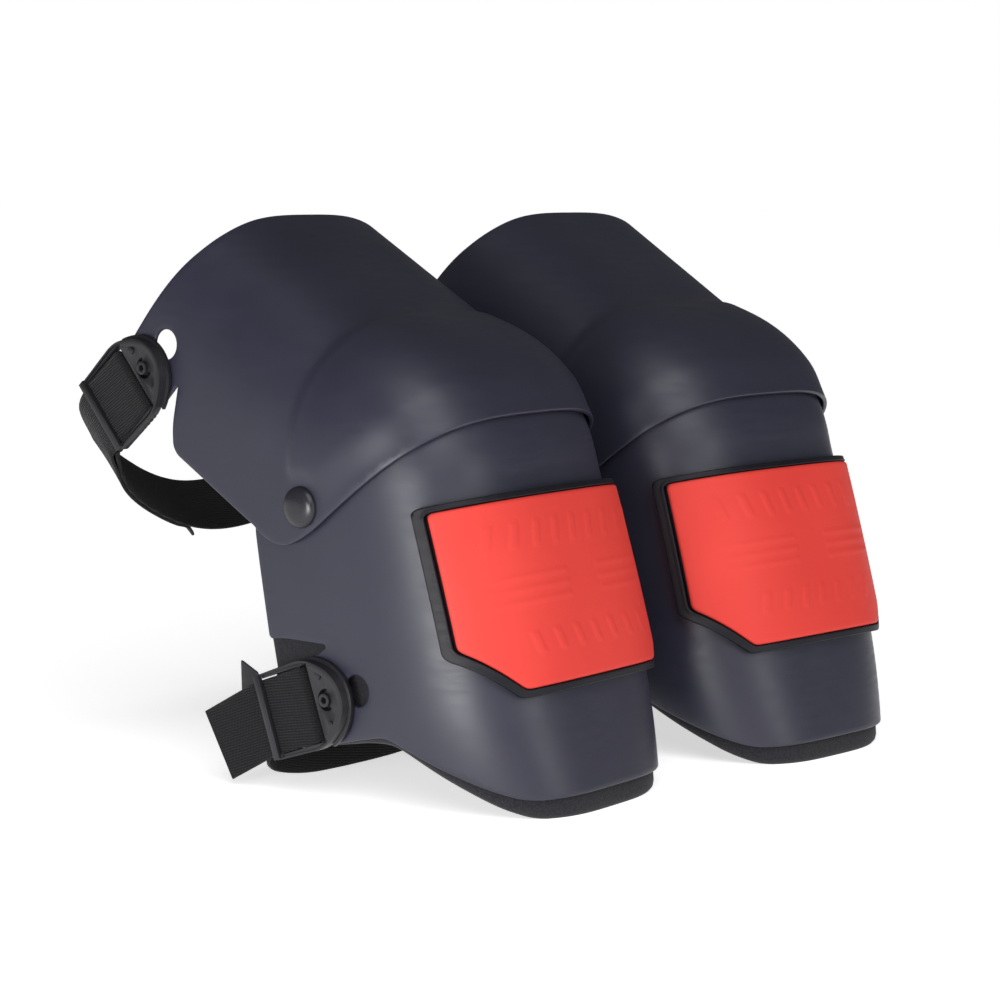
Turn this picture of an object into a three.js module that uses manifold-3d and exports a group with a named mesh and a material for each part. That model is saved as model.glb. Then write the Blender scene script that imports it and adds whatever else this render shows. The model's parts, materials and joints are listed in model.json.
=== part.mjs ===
// A pair of hinged work knee pads, in millimetres, +Z up.
// Each pad is a shin shell with a foam liner and a rubber kneeling insert, joined by two side
// rivets to a thigh shell. An elastic strap behind the calf and one behind the thigh are riveted
// to the inner side and end in a quick-release clip on the outer side.
//
// Every piece is drawn for the right pad, in the pad's own frame: the origin is the centre of
// the line between the two pivot rivets, f is forward, l is to the wearer's left and u is up
// the shin. The left pad is its mirror image.

import * as THREE from 'three';
import { mergeVertices } from 'three/addons/utils/BufferGeometryUtils.js';
import Module from 'manifold-3d';

const wasm = await Module();
wasm.setup();

// ---------- driving dimensions ----------

const DEG = Math.PI / 180;
const GAP = 0.4;                 // clearance between pieces that touch
const WALL = 2.5;                // moulded shell wall
const SECTION_POWER = 3.1;       // how square the shells are seen from above
const SECTION_STEPS = 14;        // facets from one side, round the front, to the other

const DOME_RADIUS = 93;          // kneecap dome of the thigh shell, about the pivot line
const DOME_HALF_WIDTH = 84;
const SHIN_RADIUS = 89.5;        // top of the shin shell, which turns inside the dome
const SHIN_HALF_WIDTH = 80;
const SHIN_SWELL = [11, -3.5];   // how far the front swells per 100 mm of fall, and per its square
const SHIN_TAPER_FROM = 0.95;    // the sides draw in below this fall, in 100 mm
const SHIN_TAPER = 20;
const SHIN_LEVELS = [0, -50, -95, -125, -150, -190];
const SHIN_BACK = 110;           // how far it runs behind the pivot

const THIGH_LEAN = 46 * DEG;     // thigh line behind the shin line, as the pads stand
const THIGH_FRONT = 85.5;        // front of the thigh sheet from the thigh line
const THIGH_HALF_WIDTH = 83.5;
const THIGH_LENGTH = 165;

const LINER = 10;                // foam thickness
const LINER_POCKET = 4;          // how far pockets for rivet heads go into the foam
const STUD_POCKET = 7;           // and the pocket for the clip's stud
const INSERT_PROUD = 6.2;        // how far the rubber stands out of the shin shell
const FRAME_PROUD = 5.6;

const RIVET_SHANK_RADIUS = 4;
const RIVET_HEAD_RADIUS = 8.5;
const RIVET_CAP_RADIUS = 10.4;

const STRAP_WIDTH = 38;
const STRAP_THICKNESS = 1.6;
const KEYHOLE_RADIUS = 7.8;      // the stud's head goes in here
const KEYHOLE_SLOT = 8;          // and its neck slides along here
const KEYHOLE_TRAVEL = 16;

const PAD_LEAN = 13.7 * DEG;     // the pads stand leaning back on the liner and the calf strap
const LEFT_PAD_PLACE = [181, -26.6];
const LEFT_PAD_TURN = -7.3 * DEG;
const FLOOR_BELOW_PIVOT = 145.5;

const COLOURS = {
  shell: 0x3b3b44,
  foam: 0x1b1b1d,
  rubber: 0xe8473d,
  frame: 0x232327,
  rivet: 0x2b2b30,
  webbing: 0x18181a,
  clip: 0x26262a,
};

// ---------- solids ----------

const at = (f, l, u) => new THREE.Vector3(l, -f, u);

// A closed three.js geometry as a manifold solid, with its faces turned outwards.
function solid(geometry) {
  const bare = (geometry.index ? geometry : mergeVertices(geometry)).clone();
  for (const name of Object.keys(bare.attributes)) {
    if (name !== 'position') bare.deleteAttribute(name);
  }
  const merged = mergeVertices(bare, 1e-4);
  const index = merged.index.array;
  const triangles = [];
  for (let i = 0; i < index.length; i += 3) {
    const [a, b, c] = [index[i], index[i + 1], index[i + 2]];
    if (a !== b && b !== c && a !== c) triangles.push(a, b, c);
  }
  const make = (triVerts) => new wasm.Manifold(new wasm.Mesh({
    numProp: 3,
    vertProperties: new Float32Array(merged.attributes.position.array),
    triVerts: new Uint32Array(triVerts),
  }));
  const made = make(triangles);
  if (made.volume() > 0) return made;
  for (let i = 0; i < triangles.length; i += 3) {
    [triangles[i], triangles[i + 1]] = [triangles[i + 1], triangles[i]];
  }
  return make(triangles);
}

const join = (solids) => solids.reduce((whole, next) => whole.add(next));

function geometryOf(shape) {
  const mesh = shape.getMesh();
  const geometry = new THREE.BufferGeometry();
  geometry.setAttribute('position', new THREE.BufferAttribute(mesh.vertProperties, 3));
  geometry.setIndex(new THREE.BufferAttribute(mesh.triVerts, 1));
  return geometry;
}

// A solid through a row of closed rings with the same number of points, capped at both ends.
function loft(rings) {
  const count = rings[0].length;
  const middle = (ring) => ring.reduce((s, p) => s.add(p), new THREE.Vector3()).divideScalar(count);
  const points = [...rings.flat(), middle(rings[0]), middle(rings.at(-1))];
  const last = (rings.length - 1) * count;
  const index = [];
  for (let i = 0; i < count; i++) {
    const j = (i + 1) % count;
    for (let k = 0; k < last; k += count) {
      index.push(k + i, k + j, k + count + j, k + i, k + count + j, k + count + i);
    }
    index.push(points.length - 2, j, i, points.length - 1, last + i, last + j);
  }
  const geometry = new THREE.BufferGeometry().setFromPoints(points);
  geometry.setIndex(index);
  return solid(geometry);
}

// A flat outline pushed along one direction. place holds the outline's two axes and the origin.
function prism(outline, depth, { right, up, origin }, curveSteps = 6) {
  const settings = { depth, bevelEnabled: false, curveSegments: curveSteps };
  const geometry = new THREE.ExtrudeGeometry(outline, settings);
  const out = new THREE.Vector3().crossVectors(right, up);
  const matrix = new THREE.Matrix4().makeBasis(right, up, out).setPosition(origin);
  return solid(geometry.applyMatrix4(matrix));
}

// Outlines are drawn either from the side, as (f, u), or from the front, as (l, u).
const BODY_HALF = 110;
const sidePrism = (outline) => prism(outline, 2 * BODY_HALF, {
  right: at(1, 0, 0), up: at(0, 0, 1), origin: at(0, BODY_HALF, 0),
});
const frontPrism = (outline) => prism(outline, BODY_HALF, {
  right: at(0, 1, 0).negate(), up: at(0, 0, 1), origin: at(BODY_HALF + 20, 0, 0),
});

function polygon(points) {
  return new THREE.Shape(points.map(([x, y]) => new THREE.Vector2(x, y)));
}

const rectangle = (x0, x1, half) => polygon([[x0, -half], [x1, -half], [x1, half], [x0, half]]);

function disc(radius, x = 0, y = 0) {
  const shape = new THREE.Shape();
  shape.absarc(x, y, radius, 0, 2 * Math.PI);
  return shape;
}

// ---------- the two shell forms ----------

// Half a superellipse from the right side, round the front, to the left side, as [f, l] pairs.
function frontArc(front, halfWidth) {
  return Array.from({ length: SECTION_STEPS + 1 }, (_, i) => {
    const angle = (i / SECTION_STEPS - 0.5) * Math.PI;
    const c = Math.abs(Math.cos(angle) / front) ** SECTION_POWER;
    const s = Math.abs(Math.sin(angle) / halfWidth) ** SECTION_POWER;
    const reach = (c + s) ** (-1 / SECTION_POWER);
    return [Math.max(0, reach * Math.cos(angle)), reach * Math.sin(angle)];
  });
}

// The knee: the front arc turned about the pivot line.
function knee(radius, halfWidth) {
  const profile = frontArc(radius, halfWidth).map(([f, l]) => new THREE.Vector2(f, l));
  const turned = new THREE.LatheGeometry(profile, 28);
  return solid(turned.rotateZ(-Math.PI / 2));
}

// The shin: front arcs stacked below the pivot. The front swells a little and the sides draw in.
function shin(inset) {
  const rings = [];
  for (const u of SHIN_LEVELS) {
    const fall = -u / 100;
    const front = SHIN_RADIUS + SHIN_SWELL[0] * fall + SHIN_SWELL[1] * fall ** 2 - inset;
    const halfWidth = SHIN_HALF_WIDTH - SHIN_TAPER * Math.max(fall - SHIN_TAPER_FROM, 0) ** 2 - inset;
    const arc = frontArc(front, halfWidth).map(([f, l]) => at(f, l, u));
    const back = -SHIN_BACK - inset;
    rings.push([...arc, at(back, halfWidth, u), at(back, -halfWidth, u)]);
  }
  return loft(rings);
}

const shinForm = (inset) => knee(SHIN_RADIUS - inset, SHIN_HALF_WIDTH - inset).add(shin(inset));

// Thigh coordinates: t runs up the thigh from the pivot, n is square to it, towards the front.
const thighF = (t, n) => -t * Math.sin(THIGH_LEAN) + n * Math.cos(THIGH_LEAN);
const thighU = (t, n) => t * Math.cos(THIGH_LEAN) + n * Math.sin(THIGH_LEAN);
const atThigh = (t, n, l) => at(thighF(t, n), l, thighU(t, n));

function thighSheet(inset) {
  const arc = frontArc(THIGH_FRONT - inset, THIGH_HALF_WIDTH - inset);
  const back = -SHIN_BACK - inset;
  const ring = (t) => [
    ...arc.map(([n, l]) => atThigh(t, n, l)),
    atThigh(t, back, THIGH_HALF_WIDTH - inset),
    atThigh(t, back, -THIGH_HALF_WIDTH + inset),
  ];
  return loft([ring(-inset), ring(THIGH_LENGTH + inset)]);
}

const thighForm = (inset) => knee(DOME_RADIUS - inset, DOME_HALF_WIDTH - inset).add(thighSheet(inset));

// ---------- outlines of the shells, seen from the side ----------

function shinOutline(drop, behind) {
  // drop lowers the bottom edge and behind moves the back edge back, for the liner.
  const outline = new THREE.Shape();
  const lower = (f, u) => [f, u - drop * Math.min(1, (f + 20) / 90)];
  outline.moveTo(-40 - behind, -21);
  outline.quadraticCurveTo(-38 - behind, 4, -20, 13);
  outline.lineTo(58 + drop, 68 - drop / 2);
  outline.lineTo(130, 118);
  outline.lineTo(130, -163 - drop);
  const bottom = [[96, -162.5], [84, -160.2], [71.6, -152.7], [45.7, -135], [30, -123.5]];
  for (const [f, u] of bottom) outline.lineTo(...lower(f, u));
  outline.quadraticCurveTo(22, -117.5 - drop / 2, 8, -118);
  outline.lineTo(-34 - behind, -119);
  outline.quadraticCurveTo(-42 - behind, -118, -42.5 - behind, -108);
  outline.closePath();
  return outline;
}

const backNotch = () => polygon([
  [-70, -58], [-33, -62], [-4, -68.5], [-3.5, -70.5], [-13, -73.5], [-33, -77], [-70, -80],
]);

const LIP_SLOPE = 0.45;          // the dome's lip is straight when seen from the side
const LIP_AT_PIVOT = -14.6;
const TONGUE = { low: 104.5, high: 143.5, back: -13 };

function thighOutline() {
  const outline = new THREE.Shape();
  const thighTo = (t, n) => outline.lineTo(thighF(t, n), thighU(t, n));
  const lip = (f) => [f, LIP_AT_PIVOT + LIP_SLOPE * f];
  outline.moveTo(...lip(130));
  outline.lineTo(...lip(14));
  outline.quadraticCurveTo(-2, -16, -14, -17);
  outline.quadraticCurveTo(-26, -17, thighF(23, -27.5), thighU(23, -27.5));
  thighTo(87, -27.5);
  thighTo(91, -25.5);
  thighTo(97, -18);
  thighTo(101.5, 2);
  thighTo(103, 3.5);
  thighTo(TONGUE.low, 1);
  thighTo(TONGUE.low + 4, TONGUE.back);
  thighTo(TONGUE.high, TONGUE.back);
  thighTo(144.6, 3.4);
  thighTo(140.8, 26);
  thighTo(137, 52);
  thighTo(134.6, 68);
  thighTo(134.4, 78);
  thighTo(136.5, 86);
  thighTo(137, 130);
  outline.closePath();
  return outline;
}

// ---------- where a clip sits ----------

// A clip's own axes: x from the stud towards the strap, y across the strap, z out of the shell.
// angle is the line of its keyhole, and swivel how far the clip is turned on its stud.
const SHIN_SEAT = { f: -5.5, u: -95.5, wall: SHIN_HALF_WIDTH, angle: 186 * DEG, swivel: 0 };
const THIGH_SEAT = {
  f: thighF(124.2, 1.8),
  u: thighU(124.2, 1.8),
  wall: THIGH_HALF_WIDTH,
  angle: THIGH_LEAN + 170 * DEG,
  swivel: -9 * DEG,
};

function seatFrame(seat, swivel = 0) {
  const x = at(Math.cos(seat.angle + swivel), 0, Math.sin(seat.angle + swivel));
  const z = at(0, -1, 0);
  const y = new THREE.Vector3().crossVectors(z, x);
  return new THREE.Matrix4().makeBasis(x, y, z).setPosition(at(seat.f, -seat.wall, seat.u));
}

const clipFrame = (seat) => seatFrame(seat, seat.swivel);
const onClip = (seat, x, y, z) => new THREE.Vector3(x, y, z).applyMatrix4(clipFrame(seat));

// A prism drawn in a clip's own x and y, from one height above the shell to another.
function clipPrism(outline, low, high, curveSteps = 6) {
  return prism(outline, high - low, {
    right: new THREE.Vector3(1, 0, 0),
    up: new THREE.Vector3(0, 1, 0),
    origin: new THREE.Vector3(0, 0, low),
  }, curveSteps);
}

const placed = (shape, matrix) => shape.transform(matrix.elements);

// The keyhole runs from its round mouth, ahead of the stud, to the seat behind it.
function keyhole(seat, grow, low, high) {
  const mouth = clipPrism(disc(KEYHOLE_RADIUS + grow, -KEYHOLE_TRAVEL), low, high);
  const half = KEYHOLE_SLOT / 2 + grow;
  const slot = clipPrism(rectangle(-KEYHOLE_TRAVEL, 0, half), low, high);
  const end = clipPrism(disc(half), low, high);
  return placed(join([mouth, slot, end]), seatFrame(seat));
}

// ---------- pivot rivets ----------

// A round piece on the pivot line, from one distance out of the pad's middle plane to another.
function pivotDisc(sideSign, radius, from, to, segments = 20) {
  const cylinder = new THREE.CylinderGeometry(radius, radius, to - from, segments);
  cylinder.rotateZ(Math.PI / 2).translate(sideSign * (from + to) / 2, 0, 0);
  return solid(cylinder);
}

const POST_HEAD = [SHIN_HALF_WIDTH - WALL - 2, SHIN_HALF_WIDTH - WALL - GAP];
const CAP_BASE = DOME_HALF_WIDTH + GAP;

function rivetPost(sideSign) {
  const head = pivotDisc(sideSign, RIVET_HEAD_RADIUS, ...POST_HEAD);
  return head.add(pivotDisc(sideSign, RIVET_SHANK_RADIUS, POST_HEAD[0], CAP_BASE + 1.2));
}

function rivetCap(sideSign) {
  const dome = [[0, 4.4], [5, 4], [8.6, 2.8], [RIVET_CAP_RADIUS, 0.8], [RIVET_CAP_RADIUS, 0]];
  const profile = [...dome, [5, 0], [5, 1.6], [0, 1.6]];
  const turned = new THREE.LatheGeometry(profile.map(([r, z]) => new THREE.Vector2(r, z)), 16);
  turned.rotateZ(-sideSign * Math.PI / 2).translate(sideSign * CAP_BASE, 0, 0);
  return solid(turned);
}

const pivotHoles = () => pivotDisc(1, RIVET_SHANK_RADIUS + GAP, -BODY_HALF, BODY_HALF);

// ---------- shells, liner and insert ----------

// Strap anchors on the inner side: a plate over the strap's end, held by one rivet.
const ANCHOR = { length: 17, width: 42, thickness: 2.2, rivetRadius: 2.6, headRadius: 5.2 };
const STRAP_STAND_OFF = GAP + STRAP_THICKNESS / 2;
const SHIN_ANCHOR = { f: -20, u: -96, wall: SHIN_HALF_WIDTH, along: 180 * DEG };
const THIGH_ANCHOR = {
  f: thighF(124, -3),
  u: thighU(124, -3),
  wall: THIGH_HALF_WIDTH,
  along: THIGH_LEAN + 180 * DEG,
};

// An anchor's own axes: x along the strap towards its loop, z out of the shell's inner side.
function anchorFrame({ f, u, wall, along }) {
  const x = at(Math.cos(along), 0, Math.sin(along));
  const z = at(0, 1, 0);
  const y = new THREE.Vector3().crossVectors(z, x);
  return new THREE.Matrix4().makeBasis(x, y, z).setPosition(at(f, wall, u));
}

const anchorHole = (anchor, radius) => placed(clipPrism(disc(radius), -12, 12), anchorFrame(anchor));

function lowerShell() {
  const cuts = [
    shinForm(WALL),
    sidePrism(backNotch()),
    keyhole(SHIN_SEAT, 0, -8, 8),
    pivotHoles(),
    anchorHole(SHIN_ANCHOR, ANCHOR.rivetRadius + GAP),
  ];
  return shinForm(0).intersect(sidePrism(shinOutline(0, 0))).subtract(join(cuts));
}

function foamLiner() {
  const outer = WALL + GAP;
  const pockets = [
    shinForm(outer + LINER),
    keyhole(SHIN_SEAT, 2.8, -outer - STUD_POCKET, 8),
    pivotDisc(1, RIVET_HEAD_RADIUS + 2, -BODY_HALF, -SHIN_HALF_WIDTH + 6),
    pivotDisc(1, RIVET_HEAD_RADIUS + 2, SHIN_HALF_WIDTH - 6, BODY_HALF),
    placed(clipPrism(disc(ANCHOR.headRadius + 1.5), -outer - LINER_POCKET, 8), anchorFrame(SHIN_ANCHOR)),
  ];
  const foam = shinForm(outer).intersect(sidePrism(shinOutline(10.5, 4))).subtract(join(pockets));
  return aboveFloor(foam);
}

function upperShell() {
  const cuts = [
    thighForm(WALL),
    keyhole(THIGH_SEAT, 0, -8, 8),
    pivotHoles(),
    anchorHole(THIGH_ANCHOR, ANCHOR.rivetRadius + GAP),
  ];
  return thighForm(0).intersect(sidePrism(thighOutline())).subtract(join(cuts));
}

// The insert's outline from the front: straight top and sides, with the lower corners cut off.
const insertOutline = (top, side, corner, bottom, bottomHalf) => polygon([
  [-side, top], [-side, corner], [-bottomHalf, bottom], [bottomHalf, bottom], [side, corner], [side, top],
]);
const PANEL = [-16, 73.2, -83, -107, 51];
const PANEL_SOCKET = [-15.6, 73.6, -83.2, -107.4, 51.2];
const FRAME = [-12.5, 76.6, -86, -111, 53];

function insertPanel() {
  const slab = shin(-INSERT_PROUD).subtract(shin(-GAP));
  return slab.intersect(frontPrism(insertOutline(...PANEL)));
}

function insertFrame() {
  const slab = shin(-FRAME_PROUD).subtract(shin(-GAP));
  const ring = frontPrism(insertOutline(...FRAME)).subtract(frontPrism(insertOutline(...PANEL_SOCKET)));
  return slab.intersect(ring);
}

// ---------- clips ----------

const CLIP = {
  barEnd: 42, barHalf: 22, shoulder: 7, shoulderHalf: 23, cheek: [-6, 15], nose: [-12.5, 5.5],
  base: 0.8, skirt: 2.4, plate: 5.2, rim: 7.6, barTop: 9.4,
  windowFrom: 7.5, windowTo: 38, windowHalf: 19.8, crossBar: [12.4, 16], crossBarZ: [2.8, 4.6],
};

function clipOutline(grow) {
  const [cheekX, cheekY] = CLIP.cheek;
  const [noseX, noseY] = CLIP.nose;
  const upper = [
    [CLIP.barEnd, CLIP.barHalf + grow], [CLIP.shoulder, CLIP.shoulderHalf + grow],
    [cheekX - grow, cheekY + grow], [noseX - grow, noseY],
  ];
  const lower = upper.map(([x, y]) => [x, -y]).reverse();
  return polygon([...upper, ...lower]);
}

function clip() {
  const { base, skirt, plate, rim, barTop, windowFrom, windowTo, windowHalf } = CLIP;
  const body = clipPrism(clipOutline(0), skirt, rim);
  const noseEnd = clipPrism(rectangle(-30, windowFrom - 2, 40), 0, 12);
  const foot = clipPrism(clipOutline(1.6), base, skirt + 0.4).intersect(noseEnd);
  const bar = clipPrism(rectangle(windowTo, CLIP.barEnd, CLIP.barHalf), rim - 1, barTop);
  const window = clipPrism(rectangle(windowFrom, windowTo, windowHalf), 0, 12);
  const underBar = clipPrism(rectangle(windowTo - 1, CLIP.barEnd + 2, windowHalf), 0, CLIP.rim - 0.4);
  const recess = clipPrism(clipOutline(-3), plate, 12).intersect(noseEnd);
  const crossBar = clipPrism(rectangle(...CLIP.crossBar, windowHalf + 1), ...CLIP.crossBarZ);
  const latchSlot = clipPrism(disc(5.6), 0, 12).subtract(clipPrism(disc(3.4), 0, 12))
    .subtract(clipPrism(rectangle(-9, -1.5, 9), 0, 12));
  const ring = clipPrism(disc(3.4), plate - 1, rim);
  const hexHole = clipPrism(hexagon(1.9), plate - 2, 12);
  const bosses = [-1, 1].map((sign) => clipPrism(disc(2, 1.5, sign * 12.5), plate - 1, plate + 1));
  const neck = clipPrism(disc(KEYHOLE_SLOT / 2 - 0.5), -WALL - 1.2, base + 1);
  const head = clipPrism(disc(KEYHOLE_RADIUS - 1.6), -WALL - 2.8, -WALL - 0.6);
  return join([body, foot, bar])
    .subtract(join([window, underBar, recess]))
    .add(ring)
    .subtract(join([latchSlot, hexHole]))
    .add(join([crossBar, neck, head, ...bosses]));
}

function hexagon(radius) {
  return polygon(Array.from({ length: 6 }, (_, i) => [
    radius * Math.cos(i * 60 * DEG), radius * Math.sin(i * 60 * DEG),
  ]));
}

// ---------- straps ----------

// A flat band along a path. across holds the rough direction of its width at each point.
function ribbon(path, across) {
  const rings = path.map((point, i) => {
    const before = path[Math.max(0, i - 1)];
    const after = path[Math.min(path.length - 1, i + 1)];
    const tangent = after.clone().sub(before).normalize();
    const wide = across[i].clone().addScaledVector(tangent, -across[i].dot(tangent)).normalize();
    const thick = new THREE.Vector3().crossVectors(tangent, wide);
    return [[1, 1], [-1, 1], [-1, -1], [1, -1]].map(([a, b]) => point.clone()
      .addScaledVector(wide, a * STRAP_WIDTH / 2).addScaledVector(thick, b * STRAP_THICKNESS / 2));
  });
  return loft(rings);
}

const TOP_LAYER = 5.9;           // the strap above and below the clip's cross bar
const LOWER_LAYER = 1.5;
const FOLD_X = 12.6;
const LOOP_STEPS = 24;

// The strap's path in a clip: in over the cross bar, round its front edge and out below it.
function clipRun(seat, tail) {
  const radius = (TOP_LAYER - LOWER_LAYER) / 2;
  const fold = Array.from({ length: 7 }, (_, i) => {
    const turn = (90 + 30 * i) * DEG;
    return [FOLD_X + radius * Math.cos(turn), 0, LOWER_LAYER + radius + radius * Math.sin(turn)];
  });
  const topLayer = [[42, 0, TOP_LAYER], [26, 0, TOP_LAYER]];
  const lowerLayer = [[26, 0, LOWER_LAYER], [42, 0, LOWER_LAYER]];
  return [...tail, ...topLayer, ...fold, ...lowerLayer].map(([x, y, z]) => onClip(seat, x, y, z));
}

function smooth(points, count) {
  return new THREE.CatmullRomCurve3(points, false, 'centripetal').getSpacedPoints(count);
}

// The free loop, from the clip round the back of the leg to the anchor on the inner side.
function strap(seat, tail, loop, anchor) {
  const run = clipRun(seat, tail);
  const end = [[8, 0], [-8, 0]].map(([x, y]) => new THREE.Vector3(x, y, STRAP_STAND_OFF)
    .applyMatrix4(anchorFrame(anchor)));
  const free = smooth([run.at(-1), ...loop, end[0]], LOOP_STEPS).slice(1);
  const start = new THREE.Vector3().setFromMatrixColumn(clipFrame(seat), 1);
  const finish = new THREE.Vector3().setFromMatrixColumn(anchorFrame(anchor), 1);
  if (start.dot(finish) < 0) finish.negate();
  const turning = free.map((_, i) => start.clone().lerp(finish, Math.min(1, 1.15 * (i + 1) / LOOP_STEPS)));
  const band = ribbon([...run, ...free, end[1]], [...run.map(() => start), ...turning, finish]);
  return band.subtract(anchorHole(anchor, ANCHOR.rivetRadius + GAP));
}

const LOWER_LOOP = [
  [-60, -79, -103], [-67, -68, -109], [-67, -48, -114], [-64, -18, -115.5], [-63, 14, -115.5],
  [-62, 44, -113.5], [-59, 65, -109], [-53, 77.5, -103.5], [-44, 81.4, -99], [-36, 81.4, -97.5],
];
const UPPER_LOOP = [
  [140.3, -48.5, -82.8], [134.5, -66, -71.5], [126, -81, -47], [121, -90, -18], [120.5, -91, 14],
  [121, -83, 44], [122, -68, 67], [123, -48, 80], [124, -28, 84.3],
];

function lowerStrap() {
  const tail = [[77, 6.1, 9.6], [64, 3.8, 8.2], [52, 1.6, 6.8]];
  const loop = LOWER_LOOP.map(([f, l, u]) => at(f, l, u));
  return aboveFloor(strap(SHIN_SEAT, tail, loop, SHIN_ANCHOR));
}

function upperStrap() {
  const tail = [[62, 3, 4.2], [54, 1.5, 6]];
  const loop = UPPER_LOOP.map(([t, n, l]) => atThigh(t, n, l));
  return strap(THIGH_SEAT, tail, loop, THIGH_ANCHOR);
}

// A stiff tab beneath the tail of the lower strap, with one corner showing above it.
function strapTab() {
  const outline = polygon([[51.9, -32.2], [59.4, -9.4], [56, -5], [42.8, -5], [42.8, -23.6]]);
  return placed(clipPrism(outline, 3.6, 4.8), clipFrame(SHIN_SEAT));
}

const PLATE_BASE = GAP + STRAP_THICKNESS + GAP;

function anchorPlate(anchor) {
  const outline = rectangle(-ANCHOR.length / 2, ANCHOR.length / 2, ANCHOR.width / 2);
  const plate = clipPrism(outline, PLATE_BASE, PLATE_BASE + ANCHOR.thickness);
  return placed(plate, anchorFrame(anchor)).subtract(anchorHole(anchor, ANCHOR.rivetRadius + GAP));
}

function anchorRivet(anchor) {
  const top = PLATE_BASE + ANCHOR.thickness + GAP;
  const shank = clipPrism(disc(ANCHOR.rivetRadius), -WALL - 2, top + 0.4);
  const head = clipPrism(disc(ANCHOR.headRadius), top, top + 1.6);
  const clinch = clipPrism(disc(ANCHOR.headRadius), -WALL - 2.2, -WALL - GAP);
  return placed(join([shank, head, clinch]), anchorFrame(anchor));
}

// ---------- the floor ----------

// Takes off what would lie below the floor, which leaves small flat faces to stand on.
function aboveFloor(shape) {
  const depth = 60;
  const slab = new THREE.BoxGeometry(600, 600, depth);
  slab.translate(0, 0, -FLOOR_BELOW_PIVOT - depth / 2);
  slab.rotateX(PAD_LEAN);
  return shape.subtract(solid(slab));
}

// ---------- the pair ----------

const PIECES = {
  lower_shell: [lowerShell(), COLOURS.shell, 0.5],
  foam_liner: [foamLiner(), COLOURS.foam, 0.95],
  upper_shell: [upperShell(), COLOURS.shell, 0.5],
  insert_frame: [insertFrame(), COLOURS.frame, 0.6],
  insert_panel: [insertPanel(), COLOURS.rubber, 0.55],
  outer_rivet: [rivetPost(-1), COLOURS.rivet, 0.5],
  outer_rivet_cap: [rivetCap(-1), COLOURS.rivet, 0.45],
  inner_rivet: [rivetPost(1), COLOURS.rivet, 0.5],
  inner_rivet_cap: [rivetCap(1), COLOURS.rivet, 0.45],
  upper_strap: [upperStrap(), COLOURS.webbing, 0.9],
  lower_strap: [lowerStrap(), COLOURS.webbing, 0.9],
  upper_clip: [placed(clip(), clipFrame(THIGH_SEAT)), COLOURS.clip, 0.45],
  lower_clip: [placed(clip(), clipFrame(SHIN_SEAT)), COLOURS.clip, 0.45],
  lower_strap_tab: [strapTab(), COLOURS.webbing, 0.8],
  upper_anchor: [anchorPlate(THIGH_ANCHOR), COLOURS.clip, 0.5],
  lower_anchor: [anchorPlate(SHIN_ANCHOR), COLOURS.clip, 0.5],
  upper_anchor_rivet: [anchorRivet(THIGH_ANCHOR), COLOURS.rivet, 0.4],
  lower_anchor_rivet: [anchorRivet(SHIN_ANCHOR), COLOURS.rivet, 0.4],
};

function pad(prefix, mirror) {
  const group = new THREE.Group();
  for (const [name, [shape, color, roughness]] of Object.entries(PIECES)) {
    const handed = mirror ? shape.mirror([1, 0, 0]) : shape;
    const material = new THREE.MeshStandardMaterial({ color, roughness, metalness: 0 });
    const mesh = new THREE.Mesh(geometryOf(handed), material);
    mesh.name = `${prefix}_${name}`;
    group.add(mesh);
  }
  return group;
}

const rightPad = pad('right', false);
rightPad.rotation.set(-PAD_LEAN, 0, 0, 'ZYX');

const leftPad = pad('left', true);
leftPad.rotation.set(-PAD_LEAN, 0, LEFT_PAD_TURN, 'ZYX');
leftPad.position.set(...LEFT_PAD_PLACE, 0);

// The origin goes to the middle of the pair's footprint, on the floor.
const pair = new THREE.Group();
pair.add(rightPad, leftPad);
const room = new THREE.Box3().setFromObject(pair, true);
const centre = room.getCenter(new THREE.Vector3());
pair.position.set(-centre.x, -centre.y, -room.min.z);

const kneePads = new THREE.Group();
kneePads.add(pair);
kneePads.updateMatrixWorld(true);

export default kneePads;
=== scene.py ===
"""The looks of a pair of hinged work knee pads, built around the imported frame.

Lengths are in millimetres and become metres as each mesh is made. Every piece is drawn for the
right pad, in the pad's own frame: the origin is the middle of the pivot line, f is forward, l is to
the wearer's left and u is up the shin. The left pad is its mirror image.
"""

import json
import math

import bmesh
import bpy
import numpy as np
from mathutils import Matrix, Vector
from mathutils.geometry import delaunay_2d_cdt


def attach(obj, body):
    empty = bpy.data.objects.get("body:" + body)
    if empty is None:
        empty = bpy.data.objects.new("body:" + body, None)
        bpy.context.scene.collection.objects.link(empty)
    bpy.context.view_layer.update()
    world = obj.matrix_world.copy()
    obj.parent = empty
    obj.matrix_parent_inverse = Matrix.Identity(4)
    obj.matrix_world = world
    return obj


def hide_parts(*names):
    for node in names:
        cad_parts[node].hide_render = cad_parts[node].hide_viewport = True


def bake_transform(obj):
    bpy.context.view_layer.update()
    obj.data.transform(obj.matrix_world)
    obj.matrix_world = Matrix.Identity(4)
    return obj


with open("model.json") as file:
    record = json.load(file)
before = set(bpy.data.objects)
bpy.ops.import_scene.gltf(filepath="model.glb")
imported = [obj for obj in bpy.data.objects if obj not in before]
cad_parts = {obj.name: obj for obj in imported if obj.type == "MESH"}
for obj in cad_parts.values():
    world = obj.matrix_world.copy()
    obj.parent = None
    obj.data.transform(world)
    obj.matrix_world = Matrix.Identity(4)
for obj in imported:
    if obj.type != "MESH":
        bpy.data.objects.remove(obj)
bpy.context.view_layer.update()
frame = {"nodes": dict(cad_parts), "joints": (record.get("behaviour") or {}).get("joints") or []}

# ---------- driving dimensions, as in the frame ----------

SIDES = ("right", "left")
HINGES = {joint["name"].split("_")[0]: joint for joint in frame["joints"] if joint["type"] == "hinge"}
PAD_LEAN = math.radians(13.7)

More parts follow.
